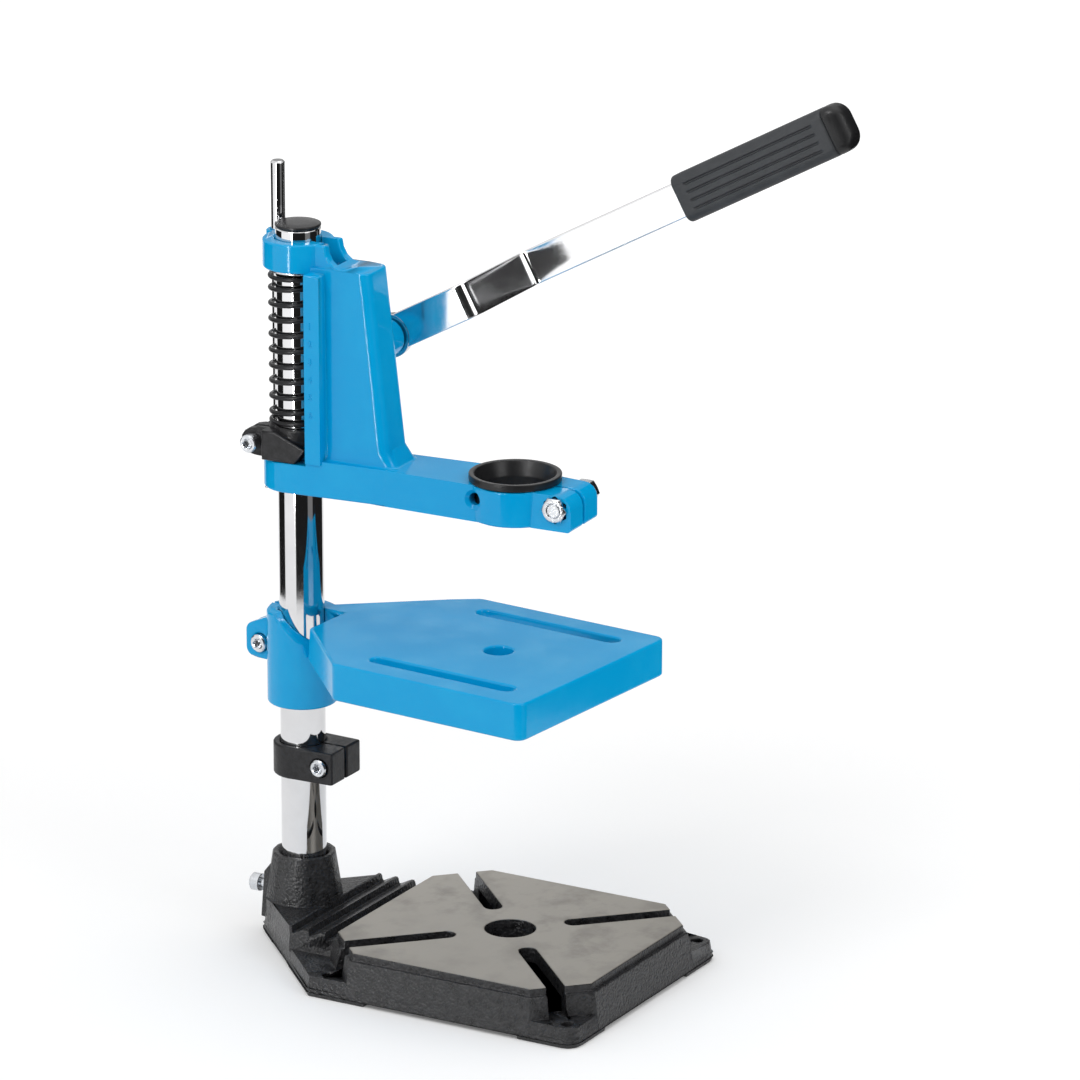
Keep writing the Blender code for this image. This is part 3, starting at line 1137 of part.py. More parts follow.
def strip_outline(line, thickness, radius):
    """Outline of a flat strip bent along a line, seen on its edge; each bend has the same middle radius."""
    sides = []
    last = len(line) - 1
    for sign in (-1, 1):
        side = []
        for index, here in enumerate(line):
            back = (line[max(index, 1)] - line[max(index, 1) - 1]).normalized()
            ahead = (line[min(index, last - 1) + 1] - line[min(index, last - 1)]).normalized()
            mitre = Vector((-back.y - ahead.y, back.x + ahead.x)).normalized()
            moved = here + mitre * (sign * thickness / 2 / mitre.dot(Vector((-ahead.y, ahead.x))))
            left = 1 if back.cross(ahead) > 0 else -1
            bend = 0 if index in (0, last) else radius - sign * left * thickness / 2
            side.append((moved.x, moved.y, bend))
        sides.append(side)
    return rounded(sides[0] + sides[1][::-1])


def lever_matrix(across):
    """Turns flat shapes into the lever's plane: x along the bar, y across it or along the shaft."""
    tilt = radians(LEVER_REST_DEGREES)
    along = Vector((0, -cos(tilt), sin(tilt)))
    up = Vector((0, sin(tilt), cos(tilt)))
    side = Vector((1, 0, 0))
    columns = (along, up, -side) if across else (along, side, up)
    matrix = Matrix.Identity(4)
    for index, column_vector in enumerate(columns):
        for row in range(3):
            matrix[row][index] = column_vector[row]
    return matrix


def lever_bar(chrome, lever):
    """Flat bar with a joggle that takes the handle out past the table and the base."""
    line = [Vector((0, LEVER_X)), Vector((LEVER_BEND, LEVER_X)),
            Vector((LEVER_BEND + LEVER_JOG, LEVER_OUTER_X)),
            Vector((LEVER_LENGTH, LEVER_OUTER_X))]
    bar = slab("bar", strip_outline(line, LEVER_THICKNESS, LEVER_BEND_RADIUS), -LEVER_WIDTH / 2,
               LEVER_WIDTH / 2)
    bar.parent = lever
    bar.matrix_local = lever_matrix(False)
    half = LEVER_THICKNESS / 2 + FOOT_INSET
    hub = rod_shape("hub", HUB_RADIUS, LEVER_X - half, LEVER_X + half, ROUND_STEPS, along="X", frame=lever)
    join(bar, hub)
    cut(bar, rod_shape("hub_hole", SHAFT_DIAMETER / 2 + GAP, LEVER_X - LEVER_WIDTH, LEVER_X + LEVER_WIDTH,
                       SMALL_STEPS, along="X", frame=lever))
    as_part(bar, "lever_bar", chrome)


def grip_piece(name, outline, thickness, frame, bevel):
    """Flat-sided grip shape with softened edges, centred on the outer bar."""
    piece = slab(name, outline, -thickness / 2, thickness / 2)
    piece.parent = frame
    piece.matrix_local = Matrix.Translation((LEVER_OUTER_X, 0, 0)) @ lever_matrix(True)
    if bevel:
        edge = piece.modifiers.new("soft_edge", "BEVEL")
        edge.width = bevel
        edge.segments = 3
        edge.limit_method = "ANGLE"
        edge.angle_limit = radians(50)
    return piece


def grip_block(start, stop, low, high):
    """Rectangle in the grip's plane."""
    return [Vector((start, low)), Vector((stop, low)), Vector((stop, high)), Vector((start, high))]


def lever_grip(rubber, black, lever):
    """Grip with grooves along both faces, and its smooth end."""
    end = GRIP_START + GRIP_LENGTH
    split = end - GRIP_CAP_LENGTH
    half = GRIP_WIDTH / 2
    soft = GRIP_THICKNESS * GRIP_SOFT_SHARE
    grip = grip_piece("grip", grip_block(GRIP_START, split, -half, half), GRIP_THICKNESS, lever, soft)
    room = LEVER_WIDTH / 2 + GAP
    cut(grip, grip_piece("grip_slot", grip_block(GRIP_START - OVERRUN, LEVER_LENGTH + GAP, -room, room),
                         LEVER_THICKNESS + 2 * GAP, lever, 0))
    for index in range(GRIP_GROOVES):
        middle = (index - (GRIP_GROOVES - 1) / 2) * GRIP_GROOVE_PITCH
        for side in (-1, 1):
            groove = grip_piece("groove",
                                grip_block(GRIP_START + GRIP_GROOVE_MARGIN, split - GRIP_GROOVE_MARGIN,
                                           middle - GRIP_GROOVE_WIDTH / 2, middle + GRIP_GROOVE_WIDTH / 2),
                                GRIP_GROOVE_DEPTH * 2, lever, 0)
            groove.matrix_local = Matrix.Translation((side * GRIP_THICKNESS / 2, 0, 0)) @ groove.matrix_local
            cut(grip, groove)
    as_part(grip, "lever_grip", rubber)
    cap_line = rounded([(split + GAP, -half, 0), (end, -half, GRIP_END_RADIUS), (end, half, GRIP_END_RADIUS),
                        (split + GAP, half, 0)])
    as_part(grip_piece("grip_cap", cap_line, GRIP_THICKNESS, lever, soft), "lever_grip_end", black)


def main():
    """Builds the stand in the pose of the photograph."""
    for old in list(bpy.data.objects):
        bpy.data.objects.remove(old)
    new_collection("drill_stand")
    cutters = new_collection("cutters")
    cast_black = finish("hammered_black", (0.022, 0.022, 0.024), 0.45, 0)
    blue = finish("blue_gloss", (0.0, 0.319, 0.672), 0.3, 0)
    chrome = finish("chrome", (0.75, 0.75, 0.76), 0.12, 1)
    zinc = finish("zinc", (0.62, 0.63, 0.64), 0.35, 1)
    plastic = finish("black_plastic", (0.02, 0.02, 0.022), 0.4, 0)
    rubber = finish("grip_grey", (0.045, 0.048, 0.053), 0.6, 0)
    dark_steel = finish("dark_steel", (0.03, 0.03, 0.032), 0.4, 0.6)
    table_frame = pivot("table_frame", turn=radians(TABLE_SWIVEL_DEGREES))
    head_frame = pivot("head_frame", turn=radians(HEAD_SWIVEL_DEGREES))
    lever_frame = pivot("lever_frame", (0, -SHAFT_Y, SHAFT_Z), parent=head_frame)
    base_casting(cast_black)
    column(chrome, plastic)
    base_clamp_screw(zinc)
    stop_collar(plastic, zinc)
    table(blue, table_frame)
    clamp_screw("table_clamp", zinc, (0, TABLE_SCREW_Y, TABLE_SCREW_Z), TABLE_LUG_HALF_WIDTH / 2,
                TABLE_LUG_HALF_WIDTH + TABLE_LUG_HALF_WIDTH / 2, table_frame)
    bracket(plastic, head_frame)
    socket_screw("bracket_bolt", zinc, BRACKET_LUG_HALF_WIDTH * 2,
                 (-BRACKET_LUG_HALF_WIDTH - GAP, BRACKET_LUG_Y, BRACKET_LUG_Z), "X", frame=head_frame)
    feed_rack(dark_steel, zinc, head_frame)
    return_spring(dark_steel, head_frame)
    guide_rod(chrome, zinc, head_frame)
    head_casting(blue, head_frame)
    adapter_ring(plastic, head_frame)
    head_clamp(zinc, head_frame)
    pinion(dark_steel, chrome, lever_frame)
    lever_bar(chrome, lever_frame)
    lever_grip(rubber, plastic, lever_frame)
    cutters.hide_render = True


main()
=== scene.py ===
"""Looks of the drill stand: fine surfaces, finishes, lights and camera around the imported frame.

Everything is in metres in the frame's own place: +Z is up the column and -Y is the front.
"""
import logging
from dataclasses import dataclass
from enum import Enum
from math import cos, pi, radians, sin

import bmesh
import bpy
import numpy as np
from bpy.types import Material, Node, NodeSocket, NodeTree, Object
from mathutils import Matrix, Vector


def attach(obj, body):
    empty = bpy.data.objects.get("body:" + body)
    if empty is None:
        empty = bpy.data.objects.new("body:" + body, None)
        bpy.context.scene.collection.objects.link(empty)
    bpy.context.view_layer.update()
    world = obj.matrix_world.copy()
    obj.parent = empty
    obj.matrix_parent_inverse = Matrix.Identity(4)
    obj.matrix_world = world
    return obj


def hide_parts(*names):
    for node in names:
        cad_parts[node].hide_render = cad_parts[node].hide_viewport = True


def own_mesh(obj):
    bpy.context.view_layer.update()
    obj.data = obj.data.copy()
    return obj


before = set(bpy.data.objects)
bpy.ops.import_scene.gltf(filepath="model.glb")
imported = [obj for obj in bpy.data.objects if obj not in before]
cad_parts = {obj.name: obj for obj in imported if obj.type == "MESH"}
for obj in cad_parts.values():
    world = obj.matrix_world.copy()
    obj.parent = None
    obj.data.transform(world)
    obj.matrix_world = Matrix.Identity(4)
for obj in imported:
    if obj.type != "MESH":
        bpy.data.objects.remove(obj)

Array = np.ndarray
Pair = tuple[float, float]
Triple = tuple[float, float, float]

LOG = logging.getLogger("drill_stand")
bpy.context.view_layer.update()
# How far head and table stand turned about the column at rest, as in the photo.
HEAD_TURN = radians(2.83)
TABLE_TURN = radians(-4.9)
# Points round a column-sized piece and round a screw.
ROUND = 96
SMALL_ROUND = 48
ALL_ROUND = 2 * pi
SHARP = 40.0
# A hexagon's flat face and the height of its corner cone, as shares of its width, and the cone's slope.
HEX_FACE = 0.48
HEX_CONE = 0.056
HEX_SLOPE = 1.74
# Width across flats, thread and length.
M6_NUT = (0.010, 0.006, 0.005)
M8_NUT = (0.013, 0.008, 0.0065)


class Skin(Enum):
    """Kinds of surface detail that a finish can have."""

    CAST = "hammered cast skin"
    PAINT = "sprayed gloss paint"
    LINES = "fine lines of a tool or a brush"
    SMOOTH = "polished or moulded skin"


class Axis(Enum):
    """Direction in which a turned piece or a nut is laid out."""

    X = "x"
    Y = "y"
    Z = "z"


def put(tree: NodeTree, socket: NodeSocket, value: object) -> None:
    """Links an input to a socket, or sets it to a value.

    Args:
        tree: The node tree.
        socket: The input.
        value: A socket, number, colour or vector.
    """
    if isinstance(value, NodeSocket):
        tree.links.new(value, socket)
    else:
        socket.default_value = value


def wire(tree: NodeTree, node: Node | str, **inputs: object) -> Node:
    """Fills a node's inputs by their names.

    Args:
        tree: The node tree.
        node: The node, or the kind of a new one.
        **inputs: What each input gets, with underscores for the spaces in its name.

    Returns:
        The node.
    """
    made = tree.nodes.new("ShaderNode" + node) if isinstance(node, str) else node
    for name, value in inputs.items():
        put(tree, made.inputs[name.replace("_", " ")], value)
    return made


def remap(tree: NodeTree, source: NodeSocket, span: Pair, out: Pair = (0.0, 1.0)) -> NodeSocket:
    """Stretches a value from one range to another, clamped.

    Args:
        tree: The node tree.
        source: The socket that holds the value.
        span: The range that comes in.
        out: The range that goes out.

    Returns:
        The socket with the new value.
    """
    ends = dict(zip(("From_Min", "From_Max", "To_Min", "To_Max"), span + out))
    return wire(tree, "MapRange", Value=source, **ends).outputs["Result"]


def combine(tree: NodeTree, how: str, first: object, second: object) -> NodeSocket:
    """Puts two values together with one arithmetic operation.

    Args:
        tree: The node tree.
        how: The operation, such as ADD or MULTIPLY.
        first: A socket or a number.
        second: A socket or a number.

    Returns:
        The socket with the result.
    """
    node = tree.nodes.new("ShaderNodeMath")
    node.operation = how
    put(tree, node.inputs[0], first)
    put(tree, node.inputs[1], second)
    return node.outputs[0]


@dataclass
class SkinGroup:
    """Shader group of one skin: vectors and a Scale come in, and Patch, Grain and Height go out."""

    name: str
    vectors: tuple[str, ...] = ("Vector",)

    def __post_init__(self) -> None:
        """Makes the group with its sockets."""
        self.tree = bpy.data.node_groups.new(self.name, "ShaderNodeTree")
        sockets = [(name, "INPUT", "Vector") for name in self.vectors] + [("Scale", "INPUT", "Float")]
        sockets += [(name, "OUTPUT", "Float") for name in ("Patch", "Grain", "Height")]
        for name, way, kind in sockets:
            self.tree.interface.new_socket(name=name, in_out=way, socket_type="NodeSocket" + kind)
        self.start = self.tree.nodes.new("NodeGroupInput")

    def texture(self, kind: str, share: float, source: str = "Vector", **inputs: object) -> Node:
        """Adds a texture.

        Args:
            kind: Noise or Voronoi.
            share: Its share of the group's scale.
            source: The vector input that it reads.
            **inputs: What its other inputs get.

        Returns:
            The texture node.
        """
        scale = combine(self.tree, "MULTIPLY", self.start.outputs["Scale"], share)
        return wire(self.tree, "Tex" + kind, Vector=self.start.outputs[source], Scale=scale, **inputs)

    def finish(self, **values: NodeSocket) -> NodeTree:
        """Puts out the group's values.

        Args:
            **values: Patch, which is where the second colour shows, Grain and Height.

        Returns:
            The group.
        """
        wire(self.tree, self.tree.nodes.new("NodeGroupOutput"), **values)
        return self.tree


def cast_skin() -> NodeTree:
    """Builds the skin of sand-cast iron under thick enamel.

    Soft round cells of two sizes are added to a broad noise, so that the height has flat-topped lumps
    with narrow valleys. Patch is the broad noise alone, for blotches of colour.

    Returns:
        The group.
    """
    skin = SkinGroup("cast_skin")
    broad = skin.texture("Noise", 0.35, Detail=3.0, Roughness=0.55).outputs["Fac"]
    fine = skin.texture("Noise", 2.6, Detail=4.0, Roughness=0.6).outputs["Fac"]
    cells = skin.texture("Voronoi", 1.0)
    cells.feature = "SMOOTH_F1"
    cells.inputs["Smoothness"].default_value = 0.7
    lumps = remap(skin.tree, cells.outputs["Distance"], (0.1, 0.75), (1.0, 0.0))
    lumps = combine(skin.tree, "ADD", lumps, combine(skin.tree, "MULTIPLY", fine, 0.7))
    height = combine(skin.tree, "ADD", lumps, broad)
    return skin.finish(Patch=remap(skin.tree, broad, (0.35, 0.65)), Grain=fine, Height=height)


def sprayed_paint() -> NodeTree:
    """Builds sprayed paint: orange peel of two sizes, and faint clouds where dust dulls the gloss.

    Returns:
        The group.
    """
    skin = SkinGroup("sprayed_paint")
    clouds = skin.texture("Noise", 0.05, Detail=5.0, Roughness=0.6).outputs["Fac"]
    peel = skin.texture("Noise", 1.0, Detail=1.5, Roughness=0.4).outputs["Fac"]
    ripple = skin.texture("Noise", 0.3, Detail=0.0, Roughness=0.5).outputs["Fac"]
    height = combine(skin.tree, "ADD", peel, combine(skin.tree, "MULTIPLY", ripple, 1.6))
    return skin.finish(Patch=remap(skin.tree, clouds, (0.42, 0.68)), Grain=peel, Height=height)


def cut_lines() -> NodeTree:
    """Builds the fine lines that a cutter or a brush leaves, with stains between them.

    The lines are a noise whose coordinates come in stretched along the cut. The stains are two broad
    noises, one multiplied by the other, so that they stand in a few places only.

    Returns:
        The group.
    """
    skin = SkinGroup("cut_lines", ("Vector", "Place"))
    lines = skin.texture("Noise", 1.0, Detail=3.0, Roughness=0.65).outputs["Fac"]
    stains = skin.texture("Noise", 0.06, "Place", Detail=5.0, Roughness=0.62).outputs["Fac"]
    zones = skin.texture("Noise", 0.02, "Place", Detail=1.0, Roughness=0.5).outputs["Fac"]
    stain = remap(skin.tree, stains, (0.45, 0.65))
    zone = remap(skin.tree, zones, (0.4, 0.6), (0.25, 1.0))
    return skin.finish(Patch=combine(skin.tree, "MULTIPLY", stain, zone), Grain=lines, Height=lines)


def new_material(name: str) -> tuple[Material, NodeTree]:
    """Makes a material.

    Args:
        name: The material's name.

    Returns:
        The material and its node tree.
    """
    material = bpy.data.materials.new(name)
    material.use_nodes = True
    return material, material.node_tree


@dataclass(frozen=True)
class Finish:
    """One surface finish, as its colours, gloss and skin."""

    name: str
    slot: str
    colour: Triple
    second: Triple
    roughness: Pair
    skin: Skin
    metallic: float = 0.0
    specular: float = 0.5
    coat: float = 0.0
    scale: float = 400.0
    bump: float = 0.1
    depth: float = 0.0001
    stretch: Triple = (1.0, 1.0, 1.0)

    def build(self, groups: dict[Skin, NodeTree]) -> Material:
        """Makes the material.

        Args:
            groups: The shader group of each kind of skin.

        Returns:
            The material, with its shader in the material itself.
        """
        material, tree = new_material(self.name)
        place = tree.nodes.new("ShaderNodeTexCoord").outputs["Object"]
        mapped = wire(tree, "Mapping", Vector=place, Scale=self.stretch).outputs["Vector"]
        skin = tree.nodes.new("ShaderNodeGroup")
        skin.node_tree = groups[self.skin]
        wire(tree, skin, Vector=mapped, Scale=self.scale)
        if "Place" in skin.inputs:
            wire(tree, skin, Place=place)
        mix = tree.nodes.new("ShaderNodeMix")
        mix.data_type = "RGBA"
        wire(tree, mix, Factor=skin.outputs["Patch"], A=(*self.colour, 1.0), B=(*self.second, 1.0))
        halves = [combine(tree, "MULTIPLY", skin.outputs[name], 0.5) for name in ("Patch", "Grain")]
        gloss = remap(tree, combine(tree, "ADD", *halves), (0.1, 0.8), self.roughness)
        bump = wire(tree, "Bump", Strength=self.bump, Distance=self.depth, Height=skin.outputs["Height"])
        wire(tree, tree.nodes["Principled BSDF"], Metallic=self.metallic, Specular_IOR_Level=self.specular,
             Coat_Weight=self.coat, Coat_Roughness=0.08, Base_Color=mix.outputs["Result"], Roughness=gloss,
             Normal=bump.outputs["Normal"])
        return material


FINISHES = (
    Finish("hammered_black", "hammered_black", (0.011, 0.011, 0.012), (0.026, 0.026, 0.028), (0.22, 0.42),
           Skin.CAST, specular=0.45, coat=0.1, scale=640.0, bump=0.8, depth=0.0005),
    Finish("machined_iron", "hammered_black", (0.34, 0.315, 0.275), (0.27, 0.25, 0.22), (0.27, 0.38),
           Skin.LINES, metallic=0.6, scale=900.0, bump=0.10, depth=0.0002, stretch=(0.04, 1.0, 1.0)),
    Finish("blue_paint", "blue_paint", (0.0, 0.340, 0.685), (0.002, 0.362, 0.700), (0.07, 0.15), Skin.PAINT,
           specular=0.25, coat=0.04, scale=750.0, bump=0.02, depth=0.0004),
    Finish("chrome", "chrome", (0.70, 0.70, 0.71), (0.63, 0.63, 0.64), (0.03, 0.09), Skin.SMOOTH,
           metallic=1.0, scale=500.0, bump=0.01),
    Finish("bright_chrome", "chrome", (0.88, 0.88, 0.89), (0.80, 0.80, 0.81), (0.10, 0.20), Skin.SMOOTH,
           metallic=1.0, scale=500.0, bump=0.01),
    Finish("zinc_plate", "zinc", (0.66, 0.68, 0.71), (0.50, 0.51, 0.53), (0.18, 0.36), Skin.LINES,
           metallic=1.0, scale=1500.0, bump=0.05, stretch=(0.2, 1.0, 1.0)),
    Finish("bracket_black", "black_steel", (0.009, 0.009, 0.010), (0.018, 0.018, 0.020), (0.30, 0.48),
           Skin.CAST, specular=0.3, scale=900.0, bump=0.18, depth=0.0003),
    Finish("spring_black", "dark_steel", (0.010, 0.010, 0.011), (0.022, 0.022, 0.024), (0.26, 0.40),
           Skin.SMOOTH, metallic=0.3, specular=0.3, scale=900.0, bump=0.05, depth=0.0002),
    Finish("oiled_steel", "dark_steel", (0.20, 0.20, 0.21), (0.10, 0.10, 0.10), (0.25, 0.42), Skin.LINES,
           metallic=1.0, scale=1300.0, bump=0.08, stretch=(1.0, 1.0, 0.1)),
    Finish("black_plastic", "black_plastic", (0.010, 0.010, 0.011), (0.016, 0.016, 0.017), (0.28, 0.42),
           Skin.SMOOTH, specular=0.35, scale=700.0, bump=0.05, depth=0.0002),
    Finish("grip_grey", "grip_plastic", (0.030, 0.033, 0.037), (0.044, 0.047, 0.052), (0.48, 0.64),
           Skin.PAINT, specular=0.35, scale=1900.0, bump=0.16, depth=0.0003),
)


def linked(name: str, data: bpy.types.ID) -> Object:
    """Makes an object and links it to the scene.

    Args:
        name: The object's name.
        data: Its mesh, camera or lamp.

    Returns:
        The object.
    """
    made = bpy.data.objects.new(name, data)
    bpy.context.scene.collection.objects.link(made)
    return made


def circle(angle: Array, radius: float) -> Array:
    """Gives points on a circle about zero.

    Args:
        angle: Angle of each point.
        radius: The circle's radius.

    Returns:
        Its points, two numbers each.
    """
    return np.stack([np.cos(angle), np.sin(angle)], axis=1) * radius


def soften(corners: list[Pair], radius: float, steps: int = 4) -> Array:
    """Rounds the corners of an outline.

    Each corner becomes a parabola that starts and ends one radius away on its two sides, or at the middle
    of a side that is shorter: (1-t)^2 * before + 2t(1-t) * corner + t^2 * after. The first and last points
    stay.

    Args:
        corners: The outline's points, as radius and height.
        radius: How far from its corner each curve starts.
        steps: How many pieces each curve has.

    Returns:
        An array of points, two numbers each.
    """
    points = np.array(corners, float)
    t = np.linspace(0, 1, steps + 1)[:, None]
    rows = [points[:1]]
    for before, corner, after in zip(points[:-2], points[1:-1], points[2:]):
        back, ahead = before - corner, after - corner
        reach_back = min(radius, np.linalg.norm(back) / 2) / np.linalg.norm(back)
        reach_ahead = min(radius, np.linalg.norm(ahead) / 2) / np.linalg.norm(ahead)
        start, stop = corner + back * reach_back, corner + ahead * reach_ahead
        rows.append((1 - t) ** 2 * start + 2 * t * (1 - t) * corner + t ** 2 * stop)
    rows.append(points[-1:])
    return np.concatenate(rows)


def grid_object(name: str, points: Array, closed: bool = False) -> Object:
    """Makes a mesh from a grid of points, smooth shaded with its sharpest edges kept.

    Row i is one ring of the surface, and its last point joins its first. Each face joins points (i, j),
    (i, j+1), (i+1, j+1) and (i+1, j). An open stack of rings gets a flat face at each end, and a closed one
    joins its last ring to its first.

    Args:
        name: The object's name.
        points: The grid, as rows, columns and three coordinates.
        closed: True where the last ring joins the first.

    Returns:
        The object, at the origin, with its faces outwards.
    """
    rows, columns = points.shape[:2]
    index = np.arange(rows * columns).reshape(rows, columns)
    along = np.roll(index, -1, axis=0) if closed else index[1:]
    here = index if closed else index[:-1]
    quads = np.stack([here, np.roll(here, -1, axis=1), np.roll(along, -1, axis=1), along], axis=-1)
    faces = quads.reshape(-1, 4).tolist()
    if not closed:
        faces += [index[0][::-1].tolist(), index[-1].tolist()]
    mesh = bpy.data.meshes.new(name)
    mesh.from_pydata(points.reshape(-1, 3).tolist(), [], faces)
    shell = bmesh.new()
    shell.from_mesh(mesh)
    bmesh.ops.remove_doubles(shell, verts=shell.verts, dist=0.000002)
    bmesh.ops.recalc_face_normals(shell, faces=shell.faces)
    shell.to_mesh(mesh)
    shell.free()
    mesh.shade_smooth()
    mesh.set_sharp_from_angle(angle=radians(SHARP))
    return linked(name, mesh)


def spun(name: str, profile: Array, place: Triple, axis: Axis = Axis.Z,
         steps: int = ROUND, flats: Array | None = None, closed: bool = False) -> Object:
    """Turns a profile about an axis; rows with a width across flats are cut to a hexagon.

    A ring's radius at angle a is the profile's radius, or where that is larger, the distance to a hexagon's
    side: half the width over cos(a mod 60 - 30 degrees).

    Args:
        name: The object's name.
        profile: Radius and distance along the axis, row by row.
        place: A point on the axis, from which the distances count.
        axis: The axis's direction.
        steps: Points round the axis.
        flats: Width across flats of each row, with 0 for a round row.
        closed: True for a ring, whose profile joins up.

    Returns:
        The object.
    """
    angle = np.linspace(0, ALL_ROUND, steps, endpoint=False)
    radius = np.repeat(profile[:, :1], steps, axis=1)
    if flats is not None:
        side = flats[:, None] / 2 / np.cos(np.mod(angle, pi / 3) - pi / 6)[None, :]
        radius = np.where(flats[:, None] > 0, np.minimum(radius, side), radius)
    across, height = radius * np.cos(angle), np.repeat(profile[:, 1:2], steps, axis=1)
    other = radius * np.sin(angle)
    order = {Axis.X: (height, across, other), Axis.Y: (other, height, across),
             Axis.Z: (across, other, height)}
    return grid_object(name, np.stack(order[axis], axis=-1) + np.array(place), closed)


def swept(name: str, path: Array, section: Array, up: Array) -> Object:
    """Carries a flat section along a path.

    At each point the section's first number goes along up made square to the path, and its second along
    the path's direction crossed with that.

    Args:
        name: The object's name.
        path: Points of the path, three numbers each.
        section: Points of the section, two numbers each, or one set of them for each path point.
        up: The direction that the section's first number follows.

    Returns:
        The object.
    """
    ahead = np.gradient(path, axis=0)
    ahead /= np.linalg.norm(ahead, axis=1, keepdims=True)
    lift = up - ahead * (ahead @ up)[:, None]
    lift /= np.linalg.norm(lift, axis=1, keepdims=True)
    side = np.cross(ahead, lift)
    rings = section if section.ndim == 3 else np.repeat(section[None], len(path), axis=0)
    points = path[:, None] + rings[..., :1] * lift[:, None] + rings[..., 1:2] * side[:, None]
    return grid_object(name, points)


def turned_about_column(made: Object, turn: float) -> Object:
    """Turns a piece's mesh about the column's axis.

    Args:
        made: The piece.
        turn: The angle.

    Returns:
        The piece.
    """
    made.data.transform(Matrix.Rotation(turn, 4, "Z"))
    return made


@dataclass
class Casting:
    """Copy of a cast CAD node with its edges rounded, in metres and degrees.

    Edges that aren't rounded stay sharp, and the normals lean to the large faces, so that those look flat.
    Spare is the middle and radius of a ball in which no edge is rounded. Room is the least length of the
    edges beside a rounding, as a share of its width. Lean and reach are the modifier's own numbers.
    """

    node: str
    width: float
    segments: int = 3
    spare: tuple[Vector, float] | None = None
    least: float = 30.0
    swing: float = 40.0
    room: float = 2.2
    merge: float = 0.00001
    flat: float = 1.0
    large_area: float = 0.00025
    large_bend: float = 2.0
    lean: int = 95
    reach: float = 0.000003

    def roundable(self, shell: bmesh.types.BMesh) -> list[bmesh.types.BMEdge]:
        """Finds the sharp edges that have room to be rounded.

        An edge is left out where one of its ends has a short neighbour, because the rounding would run past
        it. Short pieces of one smooth line, such as a hole's rim, are kept.

        Args:
            shell: The mesh.

        Returns:
            The edges.
        """
        sharp = {edge for edge in shell.edges
                 if len(edge.link_faces) == 2 and edge.calc_face_angle(0) > radians(self.least)}
        clear = set()
        for corner in shell.verts:
            lines = [edge for edge in corner.link_edges if edge in sharp]
            ways = [(edge.other_vert(corner).co - corner.co).normalized() for edge in lines]
            runs_on = len(ways) == 2 and ways[0].dot(ways[1]) < -cos(radians(self.swing))
            if all(edge.calc_length() > self.room * self.width or (edge in sharp and runs_on)
                   for edge in corner.link_edges):
                clear.add(corner)
        chosen = [edge for edge in sharp if edge.verts[0] in clear and edge.verts[1] in clear]
        if self.spare:
            middle, radius = self.spare
            chosen = [edge for edge in chosen if all((end.co - middle).length > radius for end in edge.verts)]
        return chosen

    def build(self) -> Object:
        """Copies and merges the node's mesh, and adds the rounding.

        Returns:
            The new piece, which still has to ride on a body.
        """
        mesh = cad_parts[self.node].data.copy()
        shell = bmesh.new()
        shell.from_mesh(mesh)
        bmesh.ops.remove_doubles(shell, verts=shell.verts, dist=self.merge)
        bmesh.ops.dissolve_limit(shell, angle_limit=radians(self.flat), verts=shell.verts, edges=shell.edges)
        weight = shell.edges.layers.float.new("bevel_weight_edge")
        chosen = self.roundable(shell)
        for edge in shell.edges:
            bend = edge.calc_face_angle(0) if len(edge.link_faces) == 2 else pi
            large = all(face.calc_area() > self.large_area for face in edge.link_faces)
            edge.smooth = bend <= radians(self.least) and not (large and bend > radians(self.large_bend))
        for edge in chosen:
            edge[weight] = 1.0
            edge.smooth = True
        for face in shell.faces:
            face.smooth = True
        shell.to_mesh(mesh)
        shell.free()
        mesh.materials.clear()
        made = linked(self.node + "_skin", mesh)
        rounding = made.modifiers.new("soft_edges", "BEVEL")
        rounding.width = self.width
        rounding.segments = self.segments
        rounding.limit_method = "WEIGHT"
        rounding.use_clamp_overlap = False
        even = made.modifiers.new("flat_faces", "WEIGHTED_NORMAL")
        even.mode = "FACE_AREA"
        even.weight = self.lean
        even.thresh = self.reach
        even.keep_sharp = True
        return made


def make_materials() -> dict[str, Material]:
    """Builds the shader groups and every finish once.

    Returns:
        The material of each finish, by its name.
    """
    paint, lines = sprayed_paint(), cut_lines()
    groups = {Skin.CAST: cast_skin(), Skin.PAINT: paint, Skin.SMOOTH: paint, Skin.LINES: lines}
    return {finish.name: finish.build(groups) for finish in FINISHES}


@dataclass
class SocketScrew:
    """Socket-head screw, with its seat at a point and its head on one side of it."""

    name: str
    place: Triple
    length: float
    axis: Axis = Axis.X
    way: float = 1.0
    head: float = 0.005
    head_length: float = 0.006
    edge: float = 0.0007
    lead: float = 0.0003
    shank: float = 0.0027
    key: float = 0.005
    key_depth: float = 0.003
    pitch: float = 0.001
    groove: float = 0.00045
    tip: float = 0.0005

    def mesh(self) -> Object:
        """Builds the screw: hexagonal recess, chamfered head, and a shank with ring-shaped grooves.

        Returns:
            The screw, without its finish.
        """
        top, inner = -self.head_length, self.key * 0.58
        rows = [(inner, top + self.key_depth, self.key), (inner, top + 0.0004, self.key),
                (self.key * 0.62, top, 0.0), (self.head - self.edge, top, 0.0),
                (self.head, top + self.edge, 0.0), (self.head, -self.lead, 0.0),
                (self.head - self.lead, 0.0, 0.0), (self.shank, 0.0, 0.0)]
        for step in np.arange(self.length * 0.4, self.length - 0.0012, self.pitch):
            rows += [(self.shank, step, 0.0), (self.shank - self.groove, step + self.pitch / 2, 0.0)]
        rows += [(self.shank, self.length - self.tip, 0.0), (self.shank - self.tip, self.length, 0.0)]
        table = np.array(rows)
        profile = np.stack([table[:, 0], table[:, 1] * self.way], axis=1)
        return spun(self.name + "_fine", profile, self.place, self.axis, SMALL_ROUND, table[:, 2])


